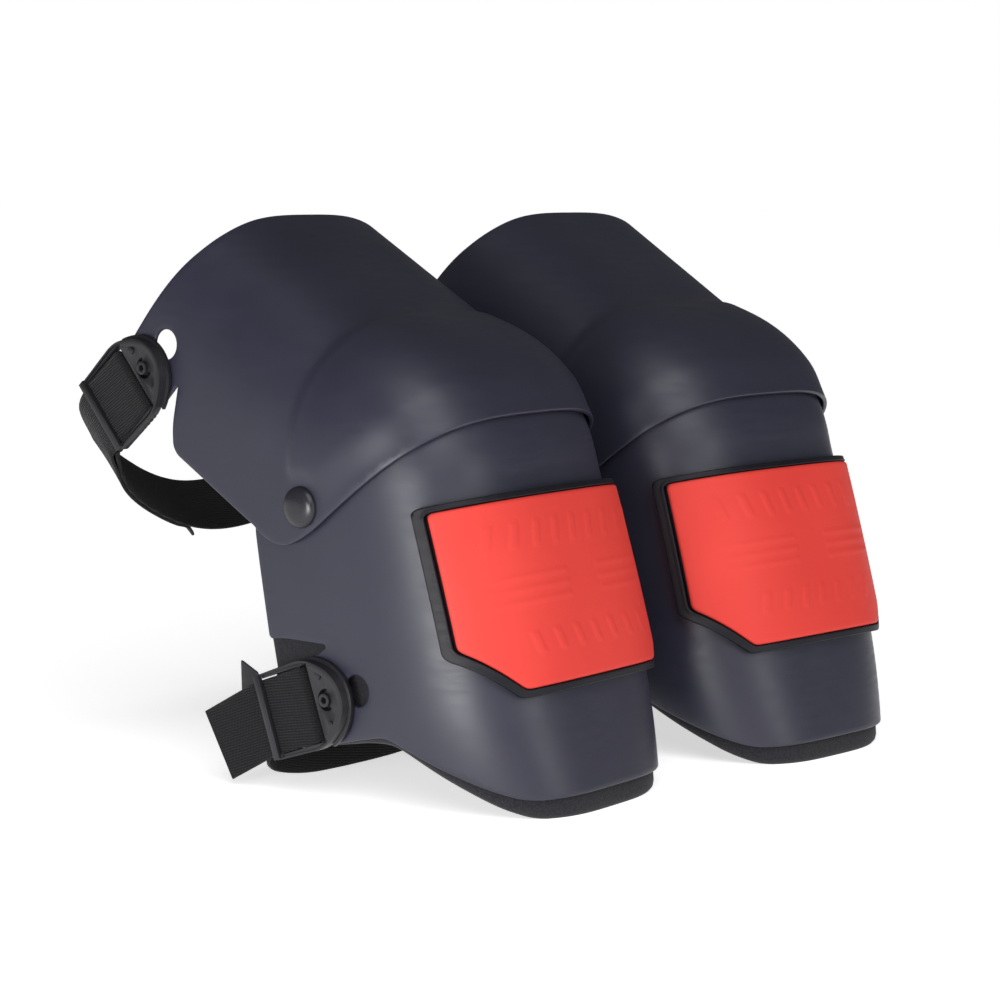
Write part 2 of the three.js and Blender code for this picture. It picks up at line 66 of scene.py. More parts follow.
SECTION_POWER = 3.1
WALL = 2.5
GAP = 0.4
DOME = (93, 84)                  # front radius and half width of the kneecap dome
SHEET = (85.5, 83.5)             # the same for the thigh sheet
SHIN = (89.5, 80)                # and for the top of the shin
THIGH_LEAN = math.radians(46)
LINER = 10
LINER_DROP = 10.5                # how far the foam shows below the shin shell
LINER_SETBACK = 4                # and behind it

STRAP_WIDTH = 38
STRAP_THICKNESS = 1.6
KEYHOLE_RADIUS = 7.8
KEYHOLE_SLOT = 8
KEYHOLE_TRAVEL = 16

# The radius of each piece's rounded rim, and the size of the triangles inside it.
MESHING = {
    "lower_shell": (0.95, 3.2),
    "upper_shell": (0.95, 3.0),
    "foam_liner": (4.0, 3.2),
    "insert_panel": (1.5, 1.0),
    "insert_frame": (0.6, 1.2),
}
RIM_STEPS = (0.134, 0.5, 1.0)    # shares of a rounded rim's width at which it has points
MERGE_REACH = 0.12               # points of the two halves this near to the middle line are one


# ---------- from a pad's own frame to the row's ----------

def to_row(points, side):
    """Points (f, l, u) in millimetres as points (x, y, z) in metres."""
    f, l, u = np.asarray(points, float).reshape(-1, 3).T
    across = -np.array(HINGES[side]["axis"])
    x = -l if side == "left" else l
    y = -f * math.cos(PAD_LEAN) + u * math.sin(PAD_LEAN)
    z = f * math.sin(PAD_LEAN) + u * math.cos(PAD_LEAN)
    turned = np.stack([x * across[0] - y * across[1], x * across[1] + y * across[0], z], axis=1)
    return turned / 1000 + np.array(HINGES[side]["pos_m"])


def make(name, points, faces, side, uv=None):
    """A smooth mesh object in the row frame, with its faces outwards on either side."""
    mesh = bpy.data.meshes.new(name)
    faces = [list(face)[::-1] for face in faces] if side == "left" else faces
    mesh.from_pydata(to_row(points, side).tolist(), [], faces)
    mesh.polygons.foreach_set("use_smooth", [True] * len(mesh.polygons))
    if uv is not None:
        layer = mesh.uv_layers.new(name="cloth")
        corners = np.zeros(len(mesh.loops), int)
        mesh.loops.foreach_get("vertex_index", corners)
        layer.data.foreach_set("uv", np.asarray(uv, float)[corners].ravel())
    mesh.validate()
    piece = bpy.data.objects.new(name, mesh)
    bpy.context.scene.collection.objects.link(piece)
    return piece


def place(piece, body, slot, material, *nodes):
    piece.data.materials.clear()
    piece.data.materials.append(material)
    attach(piece, body)
    if nodes:
        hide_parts(*nodes)
    return piece


# ---------- outlines ----------

def quadratic(start, control, end, steps=10):
    share = np.linspace(0, 1, steps + 1)[1:, None]
    start, control, end = (np.array(p, float) for p in (start, control, end))
    return list((1 - share) ** 2 * start + 2 * share * (1 - share) * control + share ** 2 * end)


def rounded(points, radii, closed=False):
    """A polyline with its corners rounded. radii is one number or one for each corner."""
    points = [np.array(p, float) for p in points]
    count = len(points)
    radii = [radii] * count if np.isscalar(radii) else radii
    out = []
    for i, point in enumerate(points):
        if not closed and i in (0, count - 1):
            out.append(point)
            continue
        before, after = points[i - 1], points[(i + 1) % count]
        reach = min(radii[i], 0.49 * np.linalg.norm(before - point), 0.49 * np.linalg.norm(after - point))
        if reach < 0.01:
            out.append(point)
            continue
        start = point + (before - point) / np.linalg.norm(before - point) * reach
        end = point + (after - point) / np.linalg.norm(after - point) * reach
        out.append(start)
        out += quadratic(start, point, end, 8)
    return np.array(out)


def running_length(points):
    """How far along a polyline each of its points is."""
    steps = np.linalg.norm(np.diff(np.asarray(points), axis=0), axis=1)
    return np.concatenate([[0], np.cumsum(steps)])


def resample(points, spacing, closed=False):
    points = np.asarray(points, float)
    if closed:
        points = np.vstack([points, points[:1]])
    run = running_length(points)
    count = max(2, int(round(run[-1] / spacing)) + 1)
    at = np.linspace(0, run[-1], count)
    out = np.stack([np.interp(at, run, points[:, k]) for k in range(points.shape[1])], axis=1)
    return out[:-1] if closed else out


def distance_to(points, lines):
    """The distance from each point to the nearest of some polylines."""
    best = np.full(len(points), 1e9)
    for line in lines:
        for start, end in zip(line[:-1], line[1:]):
            along = end - start
            length = max(along @ along, 1e-12)
            share = np.clip((points - start) @ along / length, 0, 1)
            gap = points - start - share[:, None] * along
            best = np.minimum(best, np.hypot(gap[:, 0], gap[:, 1]))
    return best


def inside(points, loop):
    x, y = points.T
    result = np.zeros(len(points), bool)
    for (x0, y0), (x1, y1) in zip(loop, np.roll(loop, -1, axis=0)):
        crosses = (y0 > y) != (y1 > y)
        if y1 != y0:
            result ^= crosses & (x < (x1 - x0) * (y - y0) / (y1 - y0) + x0)
    return result


def inside_all(points, loops):
    """Which points are in the area of some loops, where a loop inside another is a hole."""
    result = np.zeros(len(points), bool)
    for loop in loops:
        result ^= inside(points, loop)
    return result


# ---------- the two shell forms, unrolled ----------

class Section:
    """Half a superellipse from the side to the front, with its arc length."""

    def __init__(self, front, half):
        angle = np.linspace(0, math.pi / 2, 6001)
        power = SECTION_POWER
        forward, sideways = np.abs(np.sin(angle) / front), np.abs(np.cos(angle) / half)
        reach = (forward ** power + sideways ** power) ** (-1 / power)
        self.front, self.half = front, half
        self.n = reach * np.sin(angle)
        self.l = reach * np.cos(angle)
        self.l[-1] = 0
        self.s = np.concatenate([[0], np.cumsum(np.hypot(np.diff(self.n), np.diff(self.l)))])
        self.reach = self.s[-1]

    def length_of(self, n):
        return np.interp(n, self.n, self.s)


class Form:
    """A leg shell: straight where y > 0 and turned about the pivot line where y < 0.

    (x, y) is the surface unrolled: x runs from the side to the middle of the front and y along the
    leg. n is the distance forward of the leg's line and t the distance along it from the pivot.
    """

    def __init__(self, size, scale, lean, flip):
        self.section = Section(*size)
        self.scale = scale
        self.lean = lean
        self.flip = flip

    def leg_to_pad(self, n, t):
        if self.flip:
            return n, -t
        sine, cosine = math.sin(self.lean), math.cos(self.lean)
        return -t * sine + n * cosine, t * cosine + n * sine

    def pad_to_leg(self, points):
        f, u = np.asarray(points, float).T
        if self.flip:
            return np.stack([f, -u], axis=1)
        return np.stack([f * math.cos(self.lean) + u * math.sin(self.lean),
                         -f * math.sin(self.lean) + u * math.cos(self.lean)], axis=1)

    def spread(self, xy):
        """Unrolled points as (n, l, t), with l positive."""
        x, y = xy.T
        section = self.section
        wide, deep = self.scale(np.maximum(y, 0))
        straight = y >= 0
        radius = np.where(straight, x, np.where(x > 0, np.hypot(x, y), np.abs(y)))
        radius = np.minimum(radius, section.reach)
        n0 = np.interp(np.maximum(radius, 0), section.s, section.n)
        l0 = np.interp(np.maximum(radius, 0), section.s, section.l)
        safe = np.maximum(np.hypot(x, y), 1e-9)
        n = np.where(x <= 0, x, np.where(straight, n0 * deep, n0 * x / safe))
        t = np.where(straight, y, np.where(x > 0, n0 * y / safe, -n0))
        return np.stack([n, l0 * wide, t], axis=1)

    def unroll(self, nt):
        n, t = nt.T
        _, deep = self.scale(np.maximum(t, 0))
        straight = t >= 0
        radius = np.maximum(np.hypot(n, t), 1e-9)
        turned = self.section.length_of(np.minimum(radius, self.section.front))
        x = np.where(n <= 0, n, np.where(straight, self.section.length_of(n / deep), n * turned / radius))
        y = np.where(straight, t, np.where(n > 0, t * turned / radius, -self.section.length_of(np.abs(t))))
        return np.stack([x, y], axis=1)

    def depth(self, nt):
        """How far round towards the middle of the front a side-view point is; 1 is the middle."""
        n, t = nt.T
        _, deep = self.scale(np.maximum(t, 0))
        return np.where(t >= 0, n / deep, np.where(n > 0, np.hypot(n, t), 0)) / self.section.front

    def trace(self, points, spacing=1.6):
        """A side-view polyline that starts and ends beyond the front, unrolled and cut at the middle."""
        nt = resample(self.pad_to_leg(points), 1.0)
        keep = self.depth(nt) < 1
        first, last = np.argmax(keep), len(keep) - 1 - np.argmax(keep[::-1])
        line = list(nt[first:last + 1])
        for end, beyond in ((0, nt[first - 1]), (-1, nt[last + 1])):
            low, high = line[end].copy(), beyond.copy()
            for _ in range(50):
                middle = (low + high) / 2
                if self.depth(middle[None])[0] < 1:
                    low = middle
                else:
                    high = middle
            line.insert(0 if end == 0 else len(line), low)
        line = np.array(line)
        for _ in range(16):
            flat = self.unroll(line)
            wide = np.linalg.norm(np.diff(flat, axis=0), axis=1) > spacing
            if not wide.any():
                break
            slots = np.nonzero(wide)[0]
            line = np.insert(line, slots + 1, (line[slots] + line[slots + 1]) / 2, axis=0)
        flat = self.unroll(line)
        for end in (0, -1):
            flat[end] = self.at_middle(flat[end])
        kept = [flat[0]]
        for point in flat[1:-1]:
            from_last, to_end = np.linalg.norm(point - kept[-1]), np.linalg.norm(point - flat[-1])
            if from_last > 0.5 * spacing and to_end > 0.3 * spacing:
                kept.append(point)
        return np.array(kept + [flat[-1]])

    def at_middle(self, point):
        reach = self.section.reach
        if point[1] >= 0:
            return np.array([reach, point[1]])
        return point * reach / np.hypot(*point)

    def middle_line(self, start, end, rim=0.0, spacing=3.0):
        """The middle of the front between two unrolled points on it, without its ends.

        It has the same steps across the rounded rim at each end as the rest of the surface.
        """
        reach = self.section.reach

        def run(point):
            return point[1] if point[1] >= 0 else reach * math.atan2(point[1], point[0])

        a, b = run(start), run(end)
        count = max(1, int(abs(b - a) / spacing))
        out = []
        steps = list(np.linspace(a, b, count + 1)[1:-1])
        if rim:
            toward = 1 if b > a else -1
            near = [toward * share * rim for share in RIM_STEPS]
            steps = [x for x in steps if min(abs(x - a), abs(x - b)) > 1.4 * rim]
            steps = [a + x for x in near] + steps + [b - x for x in near[::-1]]
        for at in steps:
            if at >= 0:
                out.append([reach, at])
            else:
                out.append([reach * math.cos(at / reach), reach * math.sin(at / reach)])
        return np.array(out).reshape(-1, 2)


def shin_scale(t):
    """How the shin's section narrows and deepens down the leg, as factors of its width and depth."""
    fall = t / 100
    swell = 11 * (np.sqrt(fall ** 2 + 0.05 ** 2) - 0.05) - 3.5 * fall ** 2
    draw = 20 * np.maximum(fall - 0.95, 0) ** 2
    return 1 - draw / SHIN[1], 1 + swell / SHIN[0]


DOME_FADE = 55                   # how far up the thigh the dome's section takes to become the sheet's


def thigh_scale(t):
    share = np.clip(t / DOME_FADE, 0, 1)
    share = share * share * (3 - 2 * share)
    return 1 + (SHEET[1] / DOME[1] - 1) * share, 1 + (SHEET[0] / DOME[0] - 1) * share


SHIN_FORM = Form(SHIN, shin_scale, 0, True)
THIGH_FORM = Form(DOME, thigh_scale, THIGH_LEAN, False)


def superellipse_distance(n, l, size):
    forward, sideways = np.maximum(n, 0) / size[0], np.abs(l) / size[1]
    rho = (forward ** SECTION_POWER + sideways ** SECTION_POWER) ** (1 / SECTION_POWER)
    return (rho - 1) * np.where(n > 0, np.hypot(n, l) / np.maximum(rho, 1e-9), size[1])


def thigh_gap(points):
    """Roughly how far (n, l, t) points are outside the dome joined to the thigh sheet."""
    n, l, t = points.T
    dome = superellipse_distance(np.hypot(np.where(t < 0, np.maximum(n, 0), n), t), l, DOME)
    sheet = np.maximum(superellipse_distance(n, l, SHEET), -t)
    side = np.clip((np.abs(l) - 45) / 35, 0, 1)
    soft = 6 - 5.4 * side * side * (3 - 2 * side)
    meet = np.maximum(soft - np.abs(dome - sheet), 0) / soft
    return np.minimum(dome, sheet) - meet * meet * soft / 4


def settle_on_thigh(points, normals):
    """Moves points along their normals onto the dome and thigh sheet."""
    for _ in range(8):
        gap = thigh_gap(points)
        ahead = thigh_gap(points + normals * 0.05)
        slope = np.clip((ahead - gap) / 0.05, 0.4, 2)
        points = points - normals * (gap / slope)[:, None]
    return points


# ---------- skins: a trimmed stretch of a form, with thickness and round edges ----------

def triangulate(free, loops, seams, spacing, rim):
    """Triangles that fill unrolled loops. free lines are the edges that show, loops close the area."""
    box = np.vstack(loops)
    low, high = box.min(0), box.max(0)
    rows = int((high[1] - low[1]) / (spacing * 0.866)) + 2
    grid = []
    for row in range(rows):
        shift = spacing / 2 if row % 2 else 0
        xs = np.arange(low[0] + shift, high[0] + spacing, spacing)
        grid.append(np.stack([xs, np.full(len(xs), low[1] + row * spacing * 0.866)], axis=1))
    grid = np.vstack(grid)
    grid = grid[inside_all(grid, loops)]
    grid = grid[distance_to(grid, free) > max(1.45 * rim, 0.6 * spacing)]
    grid = grid[distance_to(grid, seams) > 0.55 * spacing]
    rings = []
    for share in RIM_STEPS:
        for line in free:
            tangent = np.gradient(line, axis=0)
            normal = np.stack([-tangent[:, 1], tangent[:, 0]], axis=1)
            normal /= np.maximum(np.linalg.norm(normal, axis=1), 1e-9)[:, None]
            for sign in (1, -1):
                ring = line + sign * share * rim * normal
                ring = ring[inside_all(ring, loops)]
                if len(ring):
                    ring = ring[distance_to(ring, free) > share * rim * 0.97]
                if len(ring):
                    ring = ring[distance_to(ring, seams) > 0.3]
                rings.append(ring)
    points, edges = [], []
    for loop in loops:
        start = sum(len(p) for p in points)
        points.append(loop)
        edges += [(start + i, start + (i + 1) % len(loop)) for i in range(len(loop))]
    points = np.vstack(points + rings + [grid])
    result = delaunay_2d_cdt([Vector(p) for p in points], edges, [], 0, 1e-5)
    verts = np.array([(v.x, v.y) for v in result[0]])
    faces = np.array([tuple(face) for face in result[2]])
    return verts, faces[inside_all(verts[faces].mean(1), loops)]


def mesh_normals(points, faces):
    a, b, c = points[faces[:, 0]], points[faces[:, 1]], points[faces[:, 2]]
    area = np.cross(b - a, c - a)
    total = np.zeros_like(points)
    for k in range(3):
        np.add.at(total, faces[:, k], area)
    return total / np.maximum(np.linalg.norm(total, axis=1), 1e-12)[:, None]


def skin(form, path, top, bottom, rim, spacing, holes=(), relief=None, under=None):
    """Points and faces of a shell piece, in (f, l, u).

    path is the unrolled free outline, from the middle of the front round the side to the middle
    again, or a list of two such paths for a ring. holes are closed outlines on the outer half only.
    top and bottom are the heights of its two faces over the form, and relief and under add to them.
    """
    paths = path if isinstance(path, list) else [path]
    if len(paths) == 1:
        seam = form.middle_line(paths[0][-1], paths[0][0], rim)
        loop = np.vstack([paths[0], seam])
        seams = [np.vstack([paths[0][-1:], seam, paths[0][:1]])]
    else:
        outer, inner = paths
        low_seam = form.middle_line(outer[-1], inner[-1], rim)
        high_seam = form.middle_line(inner[0], outer[0], rim)
        loop = np.vstack([outer, low_seam, inner[::-1], high_seam])
        seams = [np.vstack([outer[-1:], low_seam, inner[-1:]]),
                 np.vstack([inner[:1], high_seam, outer[:1]])]
    halves = []
    for sign, cuts in ((-1, holes), (1, ())):
        if sign > 0 and not holes:
            halves.append((sign, *halves[0][1:]))
            continue
        closed = [np.vstack([hole, hole[:1]]) for hole in cuts]
        verts, faces = triangulate([*paths, *closed], [loop, *cuts], seams, spacing, rim)
        away = distance_to(verts, [*paths, *closed])
        halves.append((sign, verts, faces, away))
    points, flats, aways, faces, middle = [], [], [], [], []
    for sign, verts, triangles, away in halves:
        spread = form.spread(verts)
        renumber = np.zeros(len(verts), int)
        for i, (n, l, t) in enumerate(spread):
            on_middle = l < MERGE_REACH
            if on_middle and sign > 0:
                near = [k for k in middle if math.dist((n, t), points[k][::2]) < MERGE_REACH]
                if near:
                    renumber[i] = near[0]
                    continue
            renumber[i] = len(points)
            if on_middle:
                middle.append(len(points))
            points.append((n, 0.0 if on_middle else sign * l, t))
            flats.append((*verts[i], sign))
            aways.append(away[i])
        faces.append(renumber[triangles])
    points, flats, away, faces = np.array(points), np.array(flats), np.array(aways), np.vstack(faces)
    a, b, c = faces.T
    faces = face_out(points, faces[(a != b) & (b != c) & (a != c)])
    normals = mesh_normals(points, faces)
    if form is THIGH_FORM:
        points = settle_on_thigh(points, normals)
        normals = mesh_normals(points, faces)
    round_off = rim - np.sqrt(np.maximum(rim ** 2 - (rim - away) ** 2, 0))
    sink = np.where(away < rim, round_off, 0)
    raise_by = relief(points, flats) if relief else 0
    lower_by = under(points, flats) if under else 0
    outer = points + normals * (top - sink + raise_by)[:, None]
    inner = points + normals * (bottom + sink + lower_by)[:, None]
    count = len(points)
    edges = dict.fromkeys(edge for a, b, c in faces for edge in ((a, b), (b, c), (c, a)))
    rim_faces = [(b, a, a + count, b + count) for (a, b) in edges if (b, a) not in edges]
    both = np.vstack([outer, inner])
    f, u = form.leg_to_pad(both[:, 0], both[:, 2])
    cloud = np.stack([f, both[:, 1], u], axis=1)
    inner_faces = [(c + count, b + count, a + count) for a, b, c in faces]
    all_faces = [tuple(face) for face in faces] + inner_faces + rim_faces
    if form.flip:
        all_faces = [face[::-1] for face in all_faces]
    return cloud, all_faces


def face_out(points, faces):
    """Turns each triangle so that it faces away from the leg, in (n, l, t) order."""
    a, b, c = points[faces[:, 0]], points[faces[:, 1]], points[faces[:, 2]]
    normal = np.cross(b - a, c - a)
    n, l, t = ((a + b + c) / 3).T
    out = np.stack([np.maximum(n, 0), l, np.where(t < 0, t, 0)], axis=1)
    wrong = (normal * out).sum(1) < 0
    faces = faces.copy()
    faces[wrong] = faces[wrong][:, ::-1]
    return faces


# ---------- shell outlines, seen from the side as (f, u) ----------

BEYOND = 130                     # an outline starts and ends this far forward, clear of the form


def shin_outline(drop=0, behind=0, notch=True):
    """The shin's edge from the foot round the back to the top, lowered or set back for the liner."""
    back = -42.5 - behind
    path = [(BEYOND, -163 - drop), (96, -162.5 - drop), (84, -160.2 - drop), (71.6, -152.7 - drop),
            (45.7, -135 - drop * 0.73), (30, -123.5 - drop * 0.55), (22, -118.5 - drop / 2),
            (8, -118 - drop * 0.3), (-34 - behind, -119), (back, -112)]
    radii = [0, 12, 10, 20, 20, 10, 10, 14, 8, 6]
    if notch:
        path += [(back, -78.5), (-33, -77), (-13, -73.5), (-3.5, -69.5), (-33, -62), (back, -61)]
        radii += [2, 6, 8, 1.6, 8, 2]
    path += [(back + 2.5, -21), (-38 - behind, 2), (-20, 13), (58 + drop, 68 - drop / 2), (BEYOND, 118)]
    radii += [10, 16, 14, 6, 0]
    return rounded(path, radii)


def thigh(t, n):
    """A point t up the thigh and n forward of its line, as (f, u)."""
    return THIGH_FORM.leg_to_pad(n, t)


def lip_height(f):
    """The dome's lower edge, a straight line seen from the side, as u."""
    return -14.6 + 0.45 * f


def thigh_outline():
    """The thigh shell's edge: the dome's lip, the ear, the back with its tongue, and the top."""
    lip = [(f, lip_height(f)) for f in (BEYOND, 14)]
    ear = quadratic(lip[1], (-2, -16), (-14, -17), 8)
    ear += quadratic((-14, -17), (-26, -17), thigh(23, -27.5), 8)
    back = [thigh(87, -27.5), thigh(91.5, -25), thigh(97, -16), thigh(103.6, 4.6),
            thigh(TONGUE_LOW + 4, -13), thigh(TONGUE_HIGH, -13), thigh(144.6, 3.4), thigh(140.8, 26),
            thigh(137, 52), thigh(134.6, 68), thigh(134.4, 78), thigh(136.5, 86), thigh(137, BEYOND)]
    radii = [8, 6, 8, 1.3, 7, 8, 14, 20, 20, 10, 10, 6, 0]
    start = lip + ear
    return rounded(start + back, [0, 4] + [0] * len(ear) + radii)


TONGUE_LOW, TONGUE_HIGH = 104.5, 143.5

# Where each clip sits: f and u of its stud's seat, the wall it lies on, and the direction of its x.
SEATS = {
    "lower": {"at": (-5.5, -95.5), "wall": SHIN[1], "angle": math.radians(186), "swivel": 0},
    "upper": {"at": thigh(124.2, 1.8), "wall": SHEET[1], "angle": THIGH_LEAN + math.radians(170),
              "swivel": math.radians(-9)},
}
ANCHORS = {
    "lower": {"at": (-20, -96), "wall": SHIN[1], "angle": math.radians(180), "swivel": 0},
    "upper": {"at": thigh(124, -3), "wall": SHEET[1], "angle": THIGH_LEAN + math.radians(180), "swivel": 0},
}


def seat_axes(seat, outer=True, swivel=True):
    """The x, y and z axes and origin, in (f, l, u), of a clip, an anchor or an unswivelled keyhole."""
    angle = seat["angle"] + (seat["swivel"] if swivel else 0)
    x = np.array([math.cos(angle), 0, math.sin(angle)])
    z = np.array([0, -1 if outer else 1, 0])
    y = np.cross(z, x)
    origin = np.array([seat["at"][0], (-1 if outer else 1) * seat["wall"], seat["at"][1]])
    return x, y, z, origin


def on_seat(seat, points, outer=True, swivel=True):
    x, y, z, origin = seat_axes(seat, outer, swivel)
    points = np.asarray(points, float)
    return origin + points[:, :1] * x + points[:, 1:2] * y + points[:, 2:] * z


def keyhole_outline(seat, form, grow=0.0):
    """The keyhole as a closed unrolled outline."""
    radius, half = KEYHOLE_RADIUS + grow, KEYHOLE_SLOT / 2 + grow
    meet = math.asin(half / radius)
    mouth = np.linspace(math.pi - meet, -math.pi + meet, 40)
    seat_arc = np.linspace(-math.pi / 2, math.pi / 2, 14)
    local = [(-KEYHOLE_TRAVEL - radius * math.cos(a), radius * math.sin(a)) for a in mouth]
    local += [(half * math.cos(a), half * math.sin(a)) for a in seat_arc]
    local = rounded(local, 0.5, closed=True)
    points = on_seat(seat, np.column_stack([local, np.zeros(len(local))]), swivel=False)
    return resample(form.unroll(form.pad_to_leg(points[:, [0, 2]])), 1.1, closed=True)


# ---------- shells, liner and insert ----------

def lower_shell():
    path = SHIN_FORM.trace(shin_outline())
    hole = keyhole_outline(SEATS["lower"], SHIN_FORM)
    return skin(SHIN_FORM, path, 0, -WALL, *MESHING["lower_shell"], holes=[hole])


def upper_shell():
    path = THIGH_FORM.trace(thigh_outline())
    hole = keyhole_outline(SEATS["upper"], THIGH_FORM)
    return skin(THIGH_FORM, path, 0, -WALL, *MESHING["upper_shell"], holes=[hole], relief=dome_swell)


DOME_EDGE = (88, 37)             # the dome's outline on the sheet: its reach back and up the leg
DOME_RISE = 1.8


def dome_swell(points, flats):
    """How far the kneecap dome stands proud of the thigh sheet, level at the rivets and the lip."""
    n, l, t = points.T
    back, up = (DOME_EDGE[0] - n) / DOME_EDGE[0], np.maximum(t, 0) / DOME_EDGE[1]
    ring = np.maximum(np.hypot(back, up), 1e-6)
    slope = np.maximum(np.hypot(back / DOME_EDGE[0], up / DOME_EDGE[1]), 1e-6) / ring
    within = (1 - ring) / slope
    f, u = THIGH_FORM.leg_to_pad(n, t)
    over_lip = u - lip_height(f)
    return (DOME_RISE * smooth_step(within, 0, 5) * smooth_step(np.hypot(n, t), 12, 20)
            * smooth_step(over_lip, 4, 26))


def smooth_step(value, low, high):
    share = np.clip((value - low) / (high - low), 0, 1)
    return share * share * (3 - 2 * share)


CHANNELS = (-34, -70, -106)      # grooves across the inner face of the liner, as u
SIDE_CHANNEL = 74                # and one down each half, this far round from the side
CHANNEL_DEPTH = 2.6
CHANNEL_WIDTH = 2.0
CHANNEL_SAG = 0.00096            # how far the cross grooves rise to the sides, by the square of l
CROWN = 0.96                     # how far the panels between them swell


def dent(away, depth, floor, brim):
    """A round hollow, flat out to one radius and gone at another."""
    return -depth * (1 - smooth_step(away, floor, brim))


def liner_dents(points, flats):
    """Room in the foam for the pivot rivets, the lower clip's stud and the anchor's rivet."""
    n, l, t = points.T
    ends = on_seat(SEATS["lower"], [(0, 0, 0), (-KEYHOLE_TRAVEL, 0, 0)])[:, [0, 2]]
    side_view = np.stack([n, t], axis=1)
    stud_away = distance_to(side_view, [SHIN_FORM.pad_to_leg(ends)])
    f, u = ANCHORS["lower"]["at"]
    anchor_away = np.hypot(n - f, t + u)
    slot = np.where(l < 0, dent(stud_away, 3.0, 8.4, 10.6), 0)
    clinch = np.where(l > 0, dent(anchor_away, 2.2, 6, 8), 0)
    return dent(np.hypot(n, t), 2.4, 9.4, 12) + slot + clinch


def liner_quilting(points, flats):
    """Channels and crowned panels on the inner face."""
    _, l, t = points.T
    offsets = [t + u + CHANNEL_SAG * l * l for u in CHANNELS] + [flats[:, 0] - SIDE_CHANNEL]
    groove = sum(CHANNEL_DEPTH * np.exp(-(offset / CHANNEL_WIDTH) ** 2) for offset in offsets)
    crown = CROWN * np.sin(np.clip((t + 20) / 36, -2, 5) * math.pi) ** 2
    return groove - crown * np.exp(-(groove / 1.5) ** 2)


def foam_liner():
    path = SHIN_FORM.trace(shin_outline(LINER_DROP, LINER_SETBACK, notch=False), 2.4)
    outer = WALL + GAP
    return skin(SHIN_FORM, path, -outer, -outer - LINER, *MESHING["foam_liner"],
                relief=liner_dents, under=liner_quilting)


def front_path(top, side, corner, bottom, bottom_half, height, radius, spacing=1.4):
    """An outline drawn from the front as (l, u), unrolled onto the shin at a height over it."""
    corners = [(0, top), (side, top), (side, corner), (bottom_half, bottom), (0, bottom)]
    line = resample(rounded(corners, radius), 0.8)
    section = SHIN_FORM.section
    reach = section.l + height * np.gradient(section.n, section.s)
    wide, _ = SHIN_FORM.scale(-line[:, 1])
    x = np.interp(line[:, 0] / wide, reach[::-1], section.s[::-1])
    flat = np.stack([x, -line[:, 1]], axis=1)
    flat = resample(flat, spacing)
    flat[0, 0] = flat[-1, 0] = section.reach
    return flat


# Front views, each as the u of its top, its half width, the u of its corner and of its bottom edge,
# and that edge's half width.
PANEL = (-16, 73.2, -83, -107, 51)
SOCKET = (-15.6, 73.6, -83.2, -107.4, 51.2)
FRAME = (-12.5, 76.6, -86, -111, 53)
PANEL_TOP, FRAME_TOP = 6.2, 5.6


def grip_bars(points, flats):
    """Faint raised bars on the kneeling face: slanted ones above and below, level ones between."""
    _, l, t = points.T
    height = np.zeros(len(points))
    for fall, tall, half, slant in ((34, 14, 60, 0.25), (86, 12, 46, -0.25)):
        along = l + slant * (t - fall)
        nearest = np.round(along / 13) * 13
        bar = 1 - smooth_step(np.abs(along - nearest), 1.0, 3.0)
        bar *= 1 - smooth_step(np.abs(t - fall), tall / 2 - 2, tall / 2 + 0.5)
        height += 0.3 * bar * (np.abs(nearest) < half)
    for fall in (54, 60, 66):
        bar = 1 - smooth_step(np.abs(t - fall), 0.6, 2.0)
        bar *= smooth_step(np.abs(l), 10, 13) * (1 - smooth_step(np.abs(l), 52, 56))
        height += 0.25 * bar
    return height


def insert_panel():
    path = front_path(*PANEL, PANEL_TOP, 2.4)
    return skin(SHIN_FORM, path, PANEL_TOP, GAP, *MESHING["insert_panel"], relief=grip_bars)


def insert_frame():
    outer = front_path(*FRAME, FRAME_TOP, 3.2)
    inner = front_path(*SOCKET, FRAME_TOP, 2.6)

    def inner_lip(points, flats):
        return 0.45 * (1 - smooth_step(distance_to(flats[:, :2], [inner]), 0.7, 1.3))

    return skin(SHIN_FORM, [outer, inner], FRAME_TOP - 0.3, GAP, *MESHING["insert_frame"], relief=inner_lip)


# ---------- turned and cut pieces ----------

def lathe(profile, steps, outer, base):
    """A profile of (radius, height) turned about the pivot line, standing on a distance from the middle."""
    profile = np.array(profile, float)
    angles = np.linspace(0, 2 * math.pi, steps, endpoint=False)
    points, rings = [], []
    for radius, height in profile:
        if radius < 1e-6:
            rings.append([len(points)])
            points.append((0, base + height, 0))
            continue
        rings.append(list(range(len(points), len(points) + steps)))
        points += [(radius * math.cos(a), base + height, radius * math.sin(a)) for a in angles]
    faces = []
    for low, high in zip(rings[:-1], rings[1:]):
        for i in range(steps):
            j = (i + 1) % steps
            if len(low) == 1:
                faces.append((low[0], high[j], high[i]))
            elif len(high) == 1:
                faces.append((low[i], low[j], high[0]))
            else:
                faces.append((low[i], low[j], high[j], high[i]))
    points = np.array(points)
    if outer:
        points[:, 1] *= -1
        faces = [face[::-1] for face in faces]
    return points, faces


CAP_BASE = DOME[1] + GAP
CAP_PROFILE = [(0, 4.3), (2.6, 4.25), (5.2, 4.0), (7.2, 3.5), (8.8, 2.75), (9.7, 1.9), (10.2, 1.1),
               (10.4, 0.5), (10.4, 0), (5, 0), (5, 1.6), (0, 1.6)]


def prism(points, low, high):
    """A flat outline of (x, y) pushed from one height to another, as a mesh."""
    points = np.asarray(points, float)
    x, y = points.T
    if np.sum(x * np.roll(y, -1) - np.roll(x, -1) * y) < 0:
        points = points[::-1]
    count = len(points)
    mesh = bpy.data.meshes.new("prism")
    verts = [(*p, low) for p in points] + [(*p, high) for p in points]
    sides = [(i, (i + 1) % count, count + (i + 1) % count, count + i) for i in range(count)]
    mesh.from_pydata(verts, [], [tuple(range(count))[::-1], tuple(range(count, 2 * count)), *sides])
    return mesh


